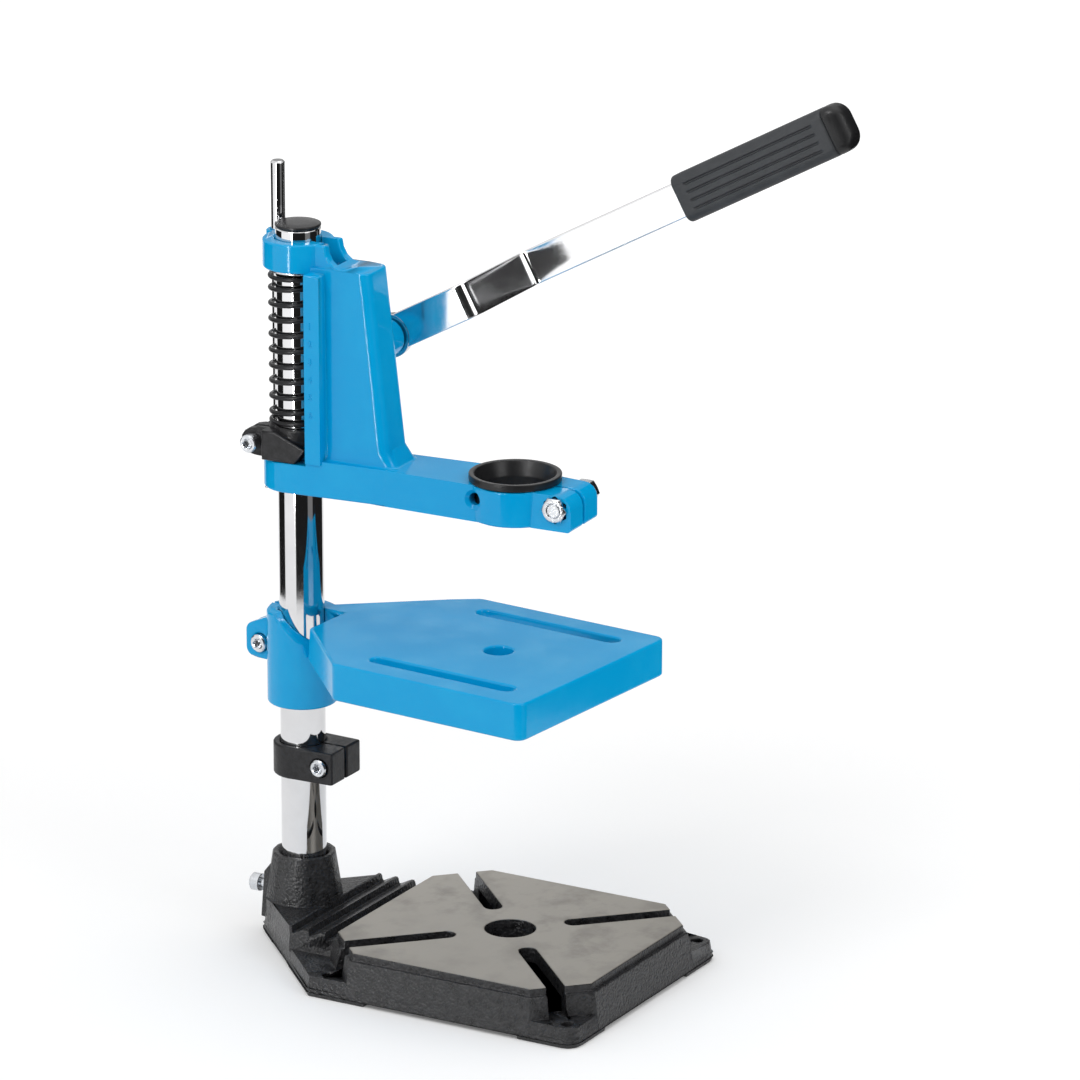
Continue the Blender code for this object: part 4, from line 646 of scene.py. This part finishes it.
@dataclass
class HexNut:
    """Hexagon nut across the X axis, with cone-shaped corners on both faces."""

    name: str
    place: Triple
    across: float
    bore: float
    length: float
    lead: float = 0.0004

    def mesh(self) -> Object:
        """Builds the nut as a closed ring; its corners fall away by a 30 degree cone.

        Returns:
            The nut, without its finish.
        """
        rise = np.linspace(0, HEX_CONE * self.across, 4)
        cone = np.stack([HEX_FACE * self.across + rise * HEX_SLOPE, rise], axis=1)
        back = np.stack([cone[::-1, 0], self.length - cone[::-1, 1]], axis=1)
        inner, lead = self.bore / 2, self.lead
        bore = np.array([(inner + lead, self.length), (inner, self.length - lead), (inner, lead),
                         (inner + lead, 0.0)])
        profile = np.concatenate([cone, back, bore])
        flats = np.concatenate([np.full(8, self.across), np.zeros(4)])
        return spun(self.name + "_fine", profile, self.place, Axis.X, SMALL_ROUND, flats, True)


@dataclass
class Assembly:
    """Pieces that ride on one body, turned about the column by the body's angle at rest."""

    materials: dict[str, Material]
    body: str = ""
    turn: float = 0.0

    def dress(self, made: Object, finish: str, *nodes: str) -> Object:
        """Gives a new piece its finish, its body and the nodes that it replaces.

        Args:
            made: The new piece, in its place.
            finish: Name of the finish.
            *nodes: The CAD nodes that it stands for.

        Returns:
            The piece.
        """
        if not made.data.materials:
            made.data.materials.append(self.materials[finish])
        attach(made, self.body)
        if nodes:
            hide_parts(*nodes)
        LOG.info("%s: %s, %d faces", made.name, finish, len(made.data.polygons))
        return made

    def add(self, made: Object, finish: str, *nodes: str) -> Object:
        """Turns and dresses a new piece that was built straight ahead; see dress."""
        return self.dress(turned_about_column(made, self.turn), finish, *nodes)

    def retain(self, node: str, finish: str) -> None:
        """Gives a kept CAD node a finish.

        Args:
            node: The CAD node.
            finish: Name of the finish.
        """
        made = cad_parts[node]
        if not made.material_slots:
            made.data.materials.append(None)
        for slot in made.material_slots:
            slot.link = "OBJECT"
            slot.material = self.materials[finish]
        LOG.info("%s kept: %s", node, finish)

    def cast(self, made: Casting, finish: str) -> None:
        """Dresses a casting, whose mesh is already turned as its CAD node is.

        Args:
            made: The casting.
            finish: Name of the finish.
        """
        self.dress(made.build(), finish, made.node)

    def fasten(self, *fasteners: SocketScrew | HexNut, finish: str = "zinc_plate") -> None:
        """Adds screws and nuts, each for the CAD node of its name.

        Args:
            *fasteners: The screws and nuts.
            finish: Name of the finish.
        """
        for fastener in fasteners:
            self.add(fastener.mesh(), finish, fastener.name)


@dataclass
class Stand(Assembly):
    """Cast base, chromed column with its plug, and the screw that holds it."""

    body: str = "base"
    edge: float = 0.0008
    plate_z: float = 0.028
    plate_band: float = 0.0008
    radius: float = 0.0125
    wall: float = 0.0025
    lead: float = 0.0008
    foot_z: float = 0.006
    column_top: float = 0.4080
    cap_radius: float = 0.0126
    cap_top: float = 0.410
    stem_low: float = 0.392
    pole: float = 0.004
    screw: Triple = (0, 0.0279, 0.0257)

    def base(self) -> None:
        """Rounds the casting's edges and gives the machined plate its own finish.

        Faces that look up and lie at the plate's height get the machined iron; all others are hammered.
        """
        made = Casting("base_casting", self.edge, segments=2).build()
        for name in ("hammered_black", "machined_iron"):
            made.data.materials.append(self.materials[name])
        faces = made.data.polygons
        numbers = np.empty(len(faces) * 3)
        faces.foreach_get("normal", numbers)
        up = numbers.reshape(-1, 3)[:, 2].copy()
        faces.foreach_get("center", numbers)
        high = numbers.reshape(-1, 3)[:, 2]
        plate = (up > 0.99) & (np.abs(high - self.plate_z) < self.plate_band)
        faces.foreach_set("material_index", plate.astype(np.int32))
        self.dress(made, "hammered_black", "base_casting")

    def column(self) -> None:
        """Builds the tube with turned chamfers, and the plug with its lip and stem."""
        inner, outer, low, high = self.radius - self.wall, self.radius, self.foot_z, self.column_top
        tube = soften([(inner, low + 0.001), (inner + 0.0005, low), (outer - self.lead, low),
                       (outer, low + self.lead), (outer, high - self.lead), (outer - self.lead, high),
                       (inner + 0.0005, high), (inner, high - 0.0005)], 0.0002)
        self.add(spun("column_fine", tube, (0, 0, 0), closed=True), "chrome", "column")
        seat, stem = high + 0.0001, inner - 0.0002
        plug = soften([(self.pole, self.stem_low), (inner - 0.0008, self.stem_low), (stem, seat - 0.002),
                       (stem, seat), (self.cap_radius, seat), (self.cap_radius, self.cap_top),
                       (self.pole, self.cap_top)], 0.0009)
        self.add(spun("cap_fine", plug, (0, 0, 0)), "black_plastic", "column_cap")

    def build(self) -> None:
        """Builds every piece of the base body."""
        self.base()
        self.column()
        self.fasten(SocketScrew("base_clamp_screw", self.screw, 0.0150, Axis.Y, -1.0))


@dataclass
class StopCollar(Assembly):
    """Split collar under the table, with its clamp screw from -X and the nut at +X."""

    body: str = "collar"
    node: str = "stop_collar"
    clamp: str = "stop_collar"
    finish: str = "bracket_black"
    edge: float = 0.0012
    middle: Triple = (0.0, -0.0193, 0.10575)
    floors: Pair = (-0.0111, 0.0111)
    length: float = 0.0260

    def build(self) -> None:
        """Builds the casting, the screw and the nut."""
        self.cast(Casting(self.node, self.edge), self.finish)
        (x, y, z), (near, far) = self.middle, self.floors
        self.fasten(SocketScrew(self.clamp + "_screw", (x + near, y, z), self.length),
                    HexNut(self.clamp + "_nut", (x + far, y, z), *M6_NUT))


@dataclass
class Table(StopCollar):
    """Blue table, which is clamped in the same way as the collar."""

    body: str = "table"
    turn: float = TABLE_TURN
    node: str = "table"
    clamp: str = "table_clamp"
    finish: str = "blue_paint"
    edge: float = 0.0014
    middle: Triple = (0.0, 0.0232, 0.1688)
    floors: Pair = (-0.0043, 0.0040)
    length: float = 0.0120


@dataclass
class Bracket(Assembly):
    """Black bracket that clamps the column, with the spring and the rack."""

    body: str = "bracket"
    turn: float = HEAD_TURN
    edge: float = 0.0012
    bolt: Triple = (-0.0075, 0.0255, 0.2850)
    spring_radius: float = 0.0155
    wire: float = 0.00125
    low: float = 0.29855
    high: float = 0.38295
    closed: float = 0.0031
    open_turns: int = 9
    steps: int = 48
    seat: float = 0.2973
    keep: float = 0.31

    def spring(self) -> None:
        """Builds the coil, whose rise is slow in the turn at each end and even in the open turns.

        Height = low + opened * pitch + (turn - opened) * closed turn, where opened is the number of open
        turns passed so far.
        """
        last = self.open_turns + 2
        turn = np.linspace(0, last, last * self.steps + 1)
        opened = np.clip(turn - 1, 0, self.open_turns)
        pitch = (self.high - self.low - 2 * self.closed) / self.open_turns
        height = self.low + opened * pitch + (turn - opened) * self.closed
        path = np.column_stack([circle(ALL_ROUND * turn, self.spring_radius), height])
        section = circle(np.linspace(0, ALL_ROUND, 16, endpoint=False), self.wire)
        coil = swept("spring_fine", path, section, np.array([0.0, 0.0, 1.0]))
        made = self.add(coil, "spring_black", "return_spring")
        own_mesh(made)

    def build(self) -> None:
        """Builds the bracket, its bolt and the spring, and keeps the rack and its screw."""
        self.cast(Casting("column_bracket", self.edge), "bracket_black")
        self.fasten(SocketScrew("bracket_bolt", self.bolt, 0.0144))
        self.spring()
        self.retain("feed_rack", "oiled_steel")
        self.retain("rack_screw", "zinc_plate")


@dataclass
class Head(Assembly):
    """Blue head with its marks, tool ring, clamp bolt, guide rod, split pin and washer."""

    body: str = "head"
    turn: float = HEAD_TURN
    edge: float = 0.0012
    mark: Triple = (-0.020, -0.0172, 0.3586)
    mark_pitch: float = 0.010
    mark_size: float = 0.0050
    marks: str = "123456"
    ring_y: float = -0.1315
    nut: Triple = (-0.0188, -0.1635, 0.2746)
    spare: float = 0.0160
    bolt_head: Pair = (0.01685, 0.0233)
    bolt_shank: float = 0.00395
    bolt_pitch: float = 0.00125
    rod: Pair = (0.0113, 0.0183)
    rod_radius: float = 0.004
    rod_ends: Pair = (0.2555, 0.440)
    pin_z: float = 0.2595
    pin_wire: float = 0.00085
    pin_eye: Triple = (-0.0064, 0.0016, 0.0016)
    pin_leg: tuple[Pair, ...] = (
        (-0.0045, 0.0), (0.0, 0.0), (0.0050, 0.0), (0.0062, -0.0003), (0.0072, -0.0016), (0.0084, -0.0038),
        (0.0094, -0.0062))
    washer: tuple[float, float, float, float] = (0.0128, 0.0168, 0.3845, 0.3857)

    def scale_marks(self) -> None:
        """Raises six plain digits from the side strip, one every ten millimetres, to read the depth by."""
        whole = bmesh.new()
        facing = Matrix(((0, 0, -1, 0), (-1, 0, 0, 0), (0, 1, 0, 0), (0, 0, 0, 1)))
        for step, digit in enumerate(self.marks):
            curve = bpy.data.curves.new("mark_" + digit, "FONT")
            curve.body = digit
            curve.size = self.mark_size
            curve.extrude = 0.00032
            curve.bevel_depth = 0.00006
            curve.align_x = "CENTER"
            curve.align_y = "CENTER"
            carrier = bpy.data.objects.new("mark_carrier", curve)
            mesh = bpy.data.meshes.new_from_object(carrier)
            place = Vector((*self.mark[:2], self.mark[2] - step * self.mark_pitch))
            mesh.transform(Matrix.Translation(place) @ facing)
            whole.from_mesh(mesh)
            bpy.data.objects.remove(carrier)
            bpy.data.meshes.remove(mesh)
        mesh = bpy.data.meshes.new("scale_marks")
        whole.to_mesh(mesh)
        whole.free()
        self.add(linked("scale_marks", mesh), "blue_paint")

    def adapter(self) -> None:
        """Builds the plastic ring in the tool bore: flange, tapered mouth and sleeve."""
        outline = soften([(0.0190, 0.2720), (0.0190, 0.2789), (0.0223, 0.2869), (0.0252, 0.2870),
                          (0.0252, 0.2831), (0.0212, 0.2831), (0.0212, 0.2648), (0.0190, 0.2648),
                          (0.0190, 0.2710)], 0.0006)
        made = spun("adapter_fine", outline, (0, self.ring_y, 0), closed=True, steps=128)
        self.add(made, "black_plastic", "adapter_ring")

    def clamp(self) -> None:
        """Builds the hexagon bolt from +X and the nut in the ear at -X."""
        seat, far = self.bolt_head
        shank, tip, across = self.bolt_shank, self.nut[0], M8_NUT[0]
        rows = [(shank - 0.0006, tip, 0.0), (shank, tip + 0.0006, 0.0)]
        for step in np.arange(tip + 0.0012, tip + 0.009, self.bolt_pitch):
            rows += [(shank, step, 0.0), (shank - 0.0005, step + 0.0006, 0.0)]
        rows += [(shank, tip + 0.0110, 0.0), (shank, seat, 0.0), (0.0070, seat, across)]
        rows += [(HEX_FACE * across + end * HEX_SLOPE, far - end, across)
                 for end in np.linspace(0, HEX_CONE * across, 4)[::-1]]
        table = np.array(rows)
        place = (0, *self.nut[1:])
        made = spun("clamp_bolt_fine", table[:, :2], place, Axis.X, SMALL_ROUND, table[:, 2])
        self.add(made, "zinc_plate", "head_clamp_bolt")
        self.fasten(HexNut("head_clamp_nut", self.nut, *M8_NUT))

    def guide(self) -> None:
        """Builds the rod with chamfered ends and the split pin with an eye and a bent leg.

        The eye is a circle in the plane of the pin: centre + r * (cos, sin), from its foot all the way round.
        """
        low, high = self.rod_ends
        radius, lead = self.rod_radius, 0.001
        rows = soften([(radius - lead, low), (radius, low + lead), (radius, high - lead),
                       (radius - lead, high)], 0.0002)
        self.add(spun("rod_fine", rows, (*self.rod, 0), steps=64), "chrome", "guide_rod")
        middle_y, middle_z, eye_radius = self.pin_eye
        eye = circle(np.linspace(-pi / 2, 1.42 * pi, 28), eye_radius) + (middle_y, middle_z)
        line = np.concatenate([eye[::-1], np.array(self.pin_leg)])
        path = np.column_stack([np.full(len(line), self.rod[0]), line + (self.rod[1], self.pin_z)])
        section = circle(np.linspace(0, ALL_ROUND, 12, endpoint=False), self.pin_wire)
        self.add(swept("pin_fine", path, section, np.array([1.0, 0.0, 0.0])), "zinc_plate", "split_pin")

    def build(self) -> None:
        """Builds every piece of the head body."""
        pocket = Matrix.Rotation(HEAD_TURN, 3, "Z") @ Vector(self.nut)
        self.cast(Casting("head_casting", self.edge, spare=(pocket, self.spare)), "blue_paint")
        self.scale_marks()
        self.adapter()
        self.clamp()
        self.guide()
        inner, outer, low, high = self.washer
        ring = soften([(inner, low + 0.0004), (inner, low), (outer, low), (outer, high), (inner, high),
                       (inner, low + 0.0006)], 0.0003)
        self.add(spun("washer_fine", ring, (0, 0, 0), closed=True), "zinc_plate", "spring_washer")


@dataclass
class Lever(Assembly):
    """Feed lever: joggled flat bar with its hub, ribbed grip and smooth end."""

    body: str = "lever"
    turn: float = HEAD_TURN
    pivot: Triple = (0.0, -0.0375, 0.3425)
    tilt: float = 28.5
    line: tuple[Pair, ...] = ((0.006, 0.036), (0.053, 0.036), (0.058, 0.100), (0.262, 0.100))
    bend: float = 0.006
    width: float = 0.020
    thickness: float = 0.005
    hub: Triple = (0.0053, 0.0125, 0.0027)
    grip: Pair = (0.166, 0.2665)
    grip_width: float = 0.0272
    grip_thickness: float = 0.017
    grip_soft: float = 0.0051
    grip_lead: float = 0.0020
    grip_fall: float = 0.0012
    grooves: int = 4
    groove_pitch: float = 0.0048
    groove_width: float = 0.0016
    groove_depth: float = 0.0010
    groove_margin: float = 0.008
    groove_ease: float = 0.0024
    cap: Pair = (0.2668, 0.2785)
    cap_round: Pair = (0.0098, 0.0066)
    cap_step: float = 0.0004

    def axes(self) -> tuple[Array, Array, Array]:
        """Gives the directions along the bar, across it and along the shaft."""
        angle = radians(self.tilt)
        return (np.array([0.0, -cos(angle), sin(angle)]), np.array([0.0, sin(angle), cos(angle)]),
                np.array([1.0, 0.0, 0.0]))

    def section(self, width: float, thickness: float, soft: float, flat: int = 1) -> Array:
        """Gives a rectangle with round corners, and with spare points on its long sides.

        Args:
            width: Its size across the bar.
            thickness: Its size along the shaft.
            soft: Radius of the corners.
            flat: How many pieces each long side is cut into.

        Returns:
            Its points, two numbers each.
        """
        corner = circle(np.linspace(0, pi / 2, 8), soft)
        centre = np.array([width / 2 - soft, thickness / 2 - soft])
        share = np.linspace(1, -1, flat + 1)[1:-1]
        side = np.stack([share * centre[0], np.full(len(share), thickness / 2)], axis=1)
        right = np.concatenate([corner + centre, side])
        left = corner[::-1] * (-1, 1) + centre * (-1, 1)
        upper = np.concatenate([right, left])
        return np.concatenate([upper, upper[::-1] * (1, -1)])

    def place(self, distance: Array, rings: Array, offset: float) -> Array:
        """Puts rings of section points at distances along the straight outer bar.

        Args:
            distance: Distance of each ring from the shaft.
            rings: Section points of each ring.
            offset: How far along the shaft the section's middle lies.

        Returns:
            Points in the head's own frame.
        """
        along, across, side = self.axes()
        return (np.array(self.pivot) + distance[:, None, None] * along + rings[..., :1] * across
                + (rings[..., 1:2] + offset) * side)

    def bar(self) -> None:
        """Builds the flat bar with its bends, and the hub round the shaft."""
        along, across, side = self.axes()
        bends = soften(list(self.line), self.bend, 10)
        path = np.array(self.pivot) + bends[:, :1] * along + bends[:, 1:2] * side
        section = self.section(self.width, self.thickness, 0.0011)
        bar = swept("lever_bar_fine", path, section, across)
        self.add(bar, "bright_chrome", "lever_bar")
        hole, radius, half = self.hub
        ring = soften([(hole, 0.0), (hole, -half), (radius, -half), (radius, half), (hole, half),
                       (hole, 0.0002)], 0.0007)
        place = (self.line[0][1], *self.pivot[1:])
        self.add(spun("lever_hub", ring, place, Axis.X, closed=True), "chrome")

    def handle(self) -> None:
        """Builds the grip with its grooves, and the smooth rounded end.

        The ends fall away as a quarter circle. A groove's depth is its full depth times a smooth bell across
        it and a smooth step at each end: 1 - (d/w)^4 inside half its width, and 0 outside.
        """
        (start, stop), lead, ease = self.grip, self.grip_lead, self.groove_ease
        edge = np.array([0.0, 0.00005, 0.0002, 0.0005, 0.0009, 0.0014, lead])
        margin = start + self.groove_margin + np.linspace(-ease / 2, ease / 2, 7)
        far = start + stop - margin[::-1]
        middle = np.linspace(margin[-1], far[0], 12)[1:-1]
        along = np.concatenate([start + edge, margin, middle, far, stop - edge[::-1]])
        near = np.minimum(along - start, stop - along)
        fall = self.grip_fall * (1 - np.sqrt(1 - np.clip(1 - near / lead, 0, 1) ** 2))
        ring = self.section(self.grip_width, self.grip_thickness, self.grip_soft, 120)
        half = np.array([self.grip_width, self.grip_thickness]) / 2
        rings = ring[None] * (1 - fall[:, None, None] / half)
        centres = (np.arange(self.grooves) - (self.grooves - 1) / 2) * self.groove_pitch
        off = np.min(np.abs(ring[:, :1] - centres), axis=1) / (self.groove_width / 2)
        bell = np.clip(1 - off ** 4, 0, 1) * (np.abs(ring[:, 1]) > half[1] * 0.97)
        step = np.clip((near - self.groove_margin) / ease + 0.5, 0, 1)
        depth = self.groove_depth * bell[None] * (step * step * (3 - 2 * step))[:, None]
        rings[..., 1] -= np.sign(ring[:, 1]) * depth
        offset = self.line[-1][1]
        self.add(grid_object("grip_fine", self.place(along, rings, offset)), "grip_grey", "lever_grip")
        low, high = self.cap
        turn = np.linspace(0, radians(86), 14)
        distance = np.concatenate([[low, low + 0.0003], high - self.cap_round[0] * (1 - np.sin(turn))])
        curve = (1 - np.cos(turn))[:, None] * self.cap_round
        drop = np.concatenate([[[self.cap_step] * 2, [0.0] * 2], curve])
        plain = self.section(self.grip_width, self.grip_thickness, self.grip_soft)
        rings = plain[None] * ((half - drop) / half)[:, None]
        end = grid_object("grip_end_fine", self.place(distance, rings, offset))
        self.add(end, "black_plastic", "lever_grip_end")

    def build(self) -> None:
        """Builds the lever, and keeps the gear, the shaft and their washer and nut."""
        self.bar()
        self.handle()
        self.retain("pinion", "oiled_steel")
        self.retain("pinion_shaft", "chrome")
        self.retain("lever_washer", "chrome")
        self.fasten(HexNut("lever_nut", (0.0390, *self.pivot[1:]), *M8_NUT), finish="chrome")


def seen_directly(tree: NodeTree) -> NodeSocket:
    """Gives 1 for rays of the camera, of mirrors and of glass, and 0 for rays that only carry light.

    Args:
        tree: The node tree to build in.

    Returns:
        The socket with the value.
    """
    path = tree.nodes.new("ShaderNodeLightPath")
    seen = combine(tree, "MAXIMUM", path.outputs["Is Camera Ray"], path.outputs["Is Glossy Ray"])
    return combine(tree, "MAXIMUM", seen, path.outputs["Is Transmission Ray"])


def direction(azimuth: float, elevation: float) -> Vector:
    """Gives the direction from the stand to a lamp or the camera.

    Args:
        azimuth: The angle about the column in degrees, 0 at the front.
        elevation: The angle above the floor in degrees.

    Returns:
        The direction.
    """
    turn, lift = radians(azimuth), radians(elevation)
    return Vector((sin(turn) * cos(lift), -cos(turn) * cos(lift), sin(lift)))


@dataclass
class Studio:
    """Camera, pale floor, soft lamps, and cards that only reflections see."""

    azimuth: float = -60.42
    elevation: float = 17.5
    distance: float = 4.0
    lens: float = 243.65
    sideways: float = 0.13066
    height: float = 0.2301
    floor_size: float = 24.0
    floor_colour: Triple = (0.90, 0.90, 0.90)
    floor_reach: Pair = (0.35, 1.60)
    floor_lift: Pair = (0.11, 0.34)
    sky: float = 0.75
    aim: Triple = (0, -0.05, 0.22)
    card_steps: int = 24

    def camera(self) -> None:
        """Sets the camera at the photograph's angle and distance."""
        turn = radians(self.azimuth)
        right, back = Vector((cos(turn), sin(turn), 0)), direction(self.azimuth, self.elevation)
        data = bpy.data.cameras.new("photo_camera")
        data.lens = self.lens
        data.sensor_width = 36.0
        data.clip_end = 60.0
        made = linked("photo_camera", data)
        made.location = right * self.sideways + Vector((0, 0, self.height)) + back * self.distance
        made.rotation_euler = back.to_track_quat("Z", "Y").to_euler()
        bpy.context.scene.camera = made

    def lamp(self, name: str, away: Vector, distance: float, size: float, power: float) -> None:
        """Adds a soft square lamp that looks at the middle of the stand.

        Args:
            name: The lamp's name.
            away: Its direction from the stand.
            distance: Its distance in metres.
            size: Length of its side.
            power: Its power in watts.
        """
        data = bpy.data.lights.new(name, "AREA")
        data.shape = "SQUARE"
        data.size = size
        data.energy = power
        made = linked(name, data)
        made.location = Vector(self.aim) + away * distance
        made.rotation_euler = away.to_track_quat("Z", "Y").to_euler()

    def card(self, name: str, span: Pair, strength: float, heights: Pair = (0.0, 0.36),
             radius: float = 0.62) -> None:
        """Adds an upright curved card that only mirror-like reflections see, dark or bright.

        Its points lie on a circle about the column: radius * (sin azimuth, -cos azimuth).

        Args:
            name: The card's name.
            span: Azimuths of its two ends in degrees.
            strength: How bright it looks, where 1 is white.
            heights: Heights of its lower and upper edge.
            radius: Its distance from the column.
        """
        steps = self.card_steps
        turn = np.radians(np.linspace(*span, steps + 1))
        ring = np.stack([np.sin(turn), -np.cos(turn), np.zeros(steps + 1)], axis=1) * radius
        points = np.concatenate([ring + np.array([0, 0, high]) for high in heights])
        here = np.arange(steps)
        faces = np.stack([here, here + 1, here + steps + 2, here + steps + 1], axis=1)
        mesh = bpy.data.meshes.new(name)
        mesh.from_pydata(points.tolist(), [], faces.tolist())
        material, tree = new_material(name)
        glow = wire(tree, "Emission", Strength=strength)
        wire(tree, tree.nodes["Material Output"], Surface=glow.outputs[0])
        mesh.materials.append(material)
        made = linked(name, mesh)
        for way in ("camera", "diffuse", "shadow", "transmission"):
            setattr(made, "visible_" + way, False)

    def floor(self) -> None:
        """Lays the pale floor, which takes the shadow and looks white where nothing shades it."""
        half = self.floor_size / 2
        mesh = bpy.data.meshes.new("floor")
        corners = [(-half, -half, 0), (half, -half, 0), (half, half, 0), (-half, half, 0)]
        mesh.from_pydata(corners, [], [(0, 1, 2, 3)])
        material, tree = new_material("pale_floor")
        shader = wire(tree, tree.nodes["Principled BSDF"], Base_Color=(*self.floor_colour, 1.0),
                      Roughness=0.9, Specular_IOR_Level=0.0)
        length = tree.nodes.new("ShaderNodeVectorMath")
        length.operation = "LENGTH"
        put(tree, length.inputs[0], tree.nodes.new("ShaderNodeTexCoord").outputs["Object"])
        lift = remap(tree, length.outputs["Value"], self.floor_reach, self.floor_lift)
        glow = wire(tree, "Emission", Strength=combine(tree, "MULTIPLY", seen_directly(tree), lift))
        both = tree.nodes.new("ShaderNodeAddShader")
        put(tree, both.inputs[0], shader.outputs[0])
        put(tree, both.inputs[1], glow.outputs[0])
        wire(tree, tree.nodes["Material Output"], Surface=both.outputs[0])
        mesh.materials.append(material)
        linked("floor", mesh)

    def world(self) -> None:
        """Makes a world that looks white, also in reflections, and lights the stand more softly."""
        world = bpy.data.worlds.new("studio")
        world.use_nodes = True
        tree = world.node_tree
        strength = remap(tree, seen_directly(tree), (0.0, 1.0), (self.sky, 1.0))
        wire(tree, tree.nodes["Background"], Color=(1.0, 1.0, 1.0, 1.0), Strength=strength)
        bpy.context.scene.world = world

    def build(self) -> None:
        """Builds the whole studio and sets the view transform."""
        self.camera()
        self.floor()
        self.world()
        self.lamp("key", direction(-105.0, 48.0), 3.0, 1.1, 20.0)
        self.lamp("fill", direction(-15.0, 30.0), 3.0, 1.0, 9.0)
        self.lamp("top", direction(60.0, 80.0), 2.6, 1.8, 8.0)
        self.card("card_left", (-200.0, -148.0), 0.015)
        self.card("card_front", (-86.0, -24.0), 0.015, (0.0, 0.90))
        self.card("card_streak", (-24.0, 2.0), 0.22)
        self.card("card_right", (2.0, 76.0), 0.015, (0.0, 0.90))
        self.card("card_back", (76.0, 160.0), 0.42, (0.0, 1.8), 2.40)
        self.card("strip_light", (-92.0, -88.0), 26.0, (0.0, 1.6), 0.90)
        self.card("back_glow", (113.0, 128.0), 1.6, (0.52, 0.86), 2.20)
        bpy.context.scene.view_settings.view_transform = "Standard"
        LOG.info("studio ready")


def main() -> None:
    """Builds the sub-assemblies in order, then the studio."""
    logging.basicConfig(level=logging.INFO)
    materials = make_materials()
    for kind in (Stand, StopCollar, Table, Bracket, Head, Lever):
        kind(materials).build()
        LOG.info("%s done", kind.__name__)
    Studio().build()


if __name__ == "__main__":
    main()
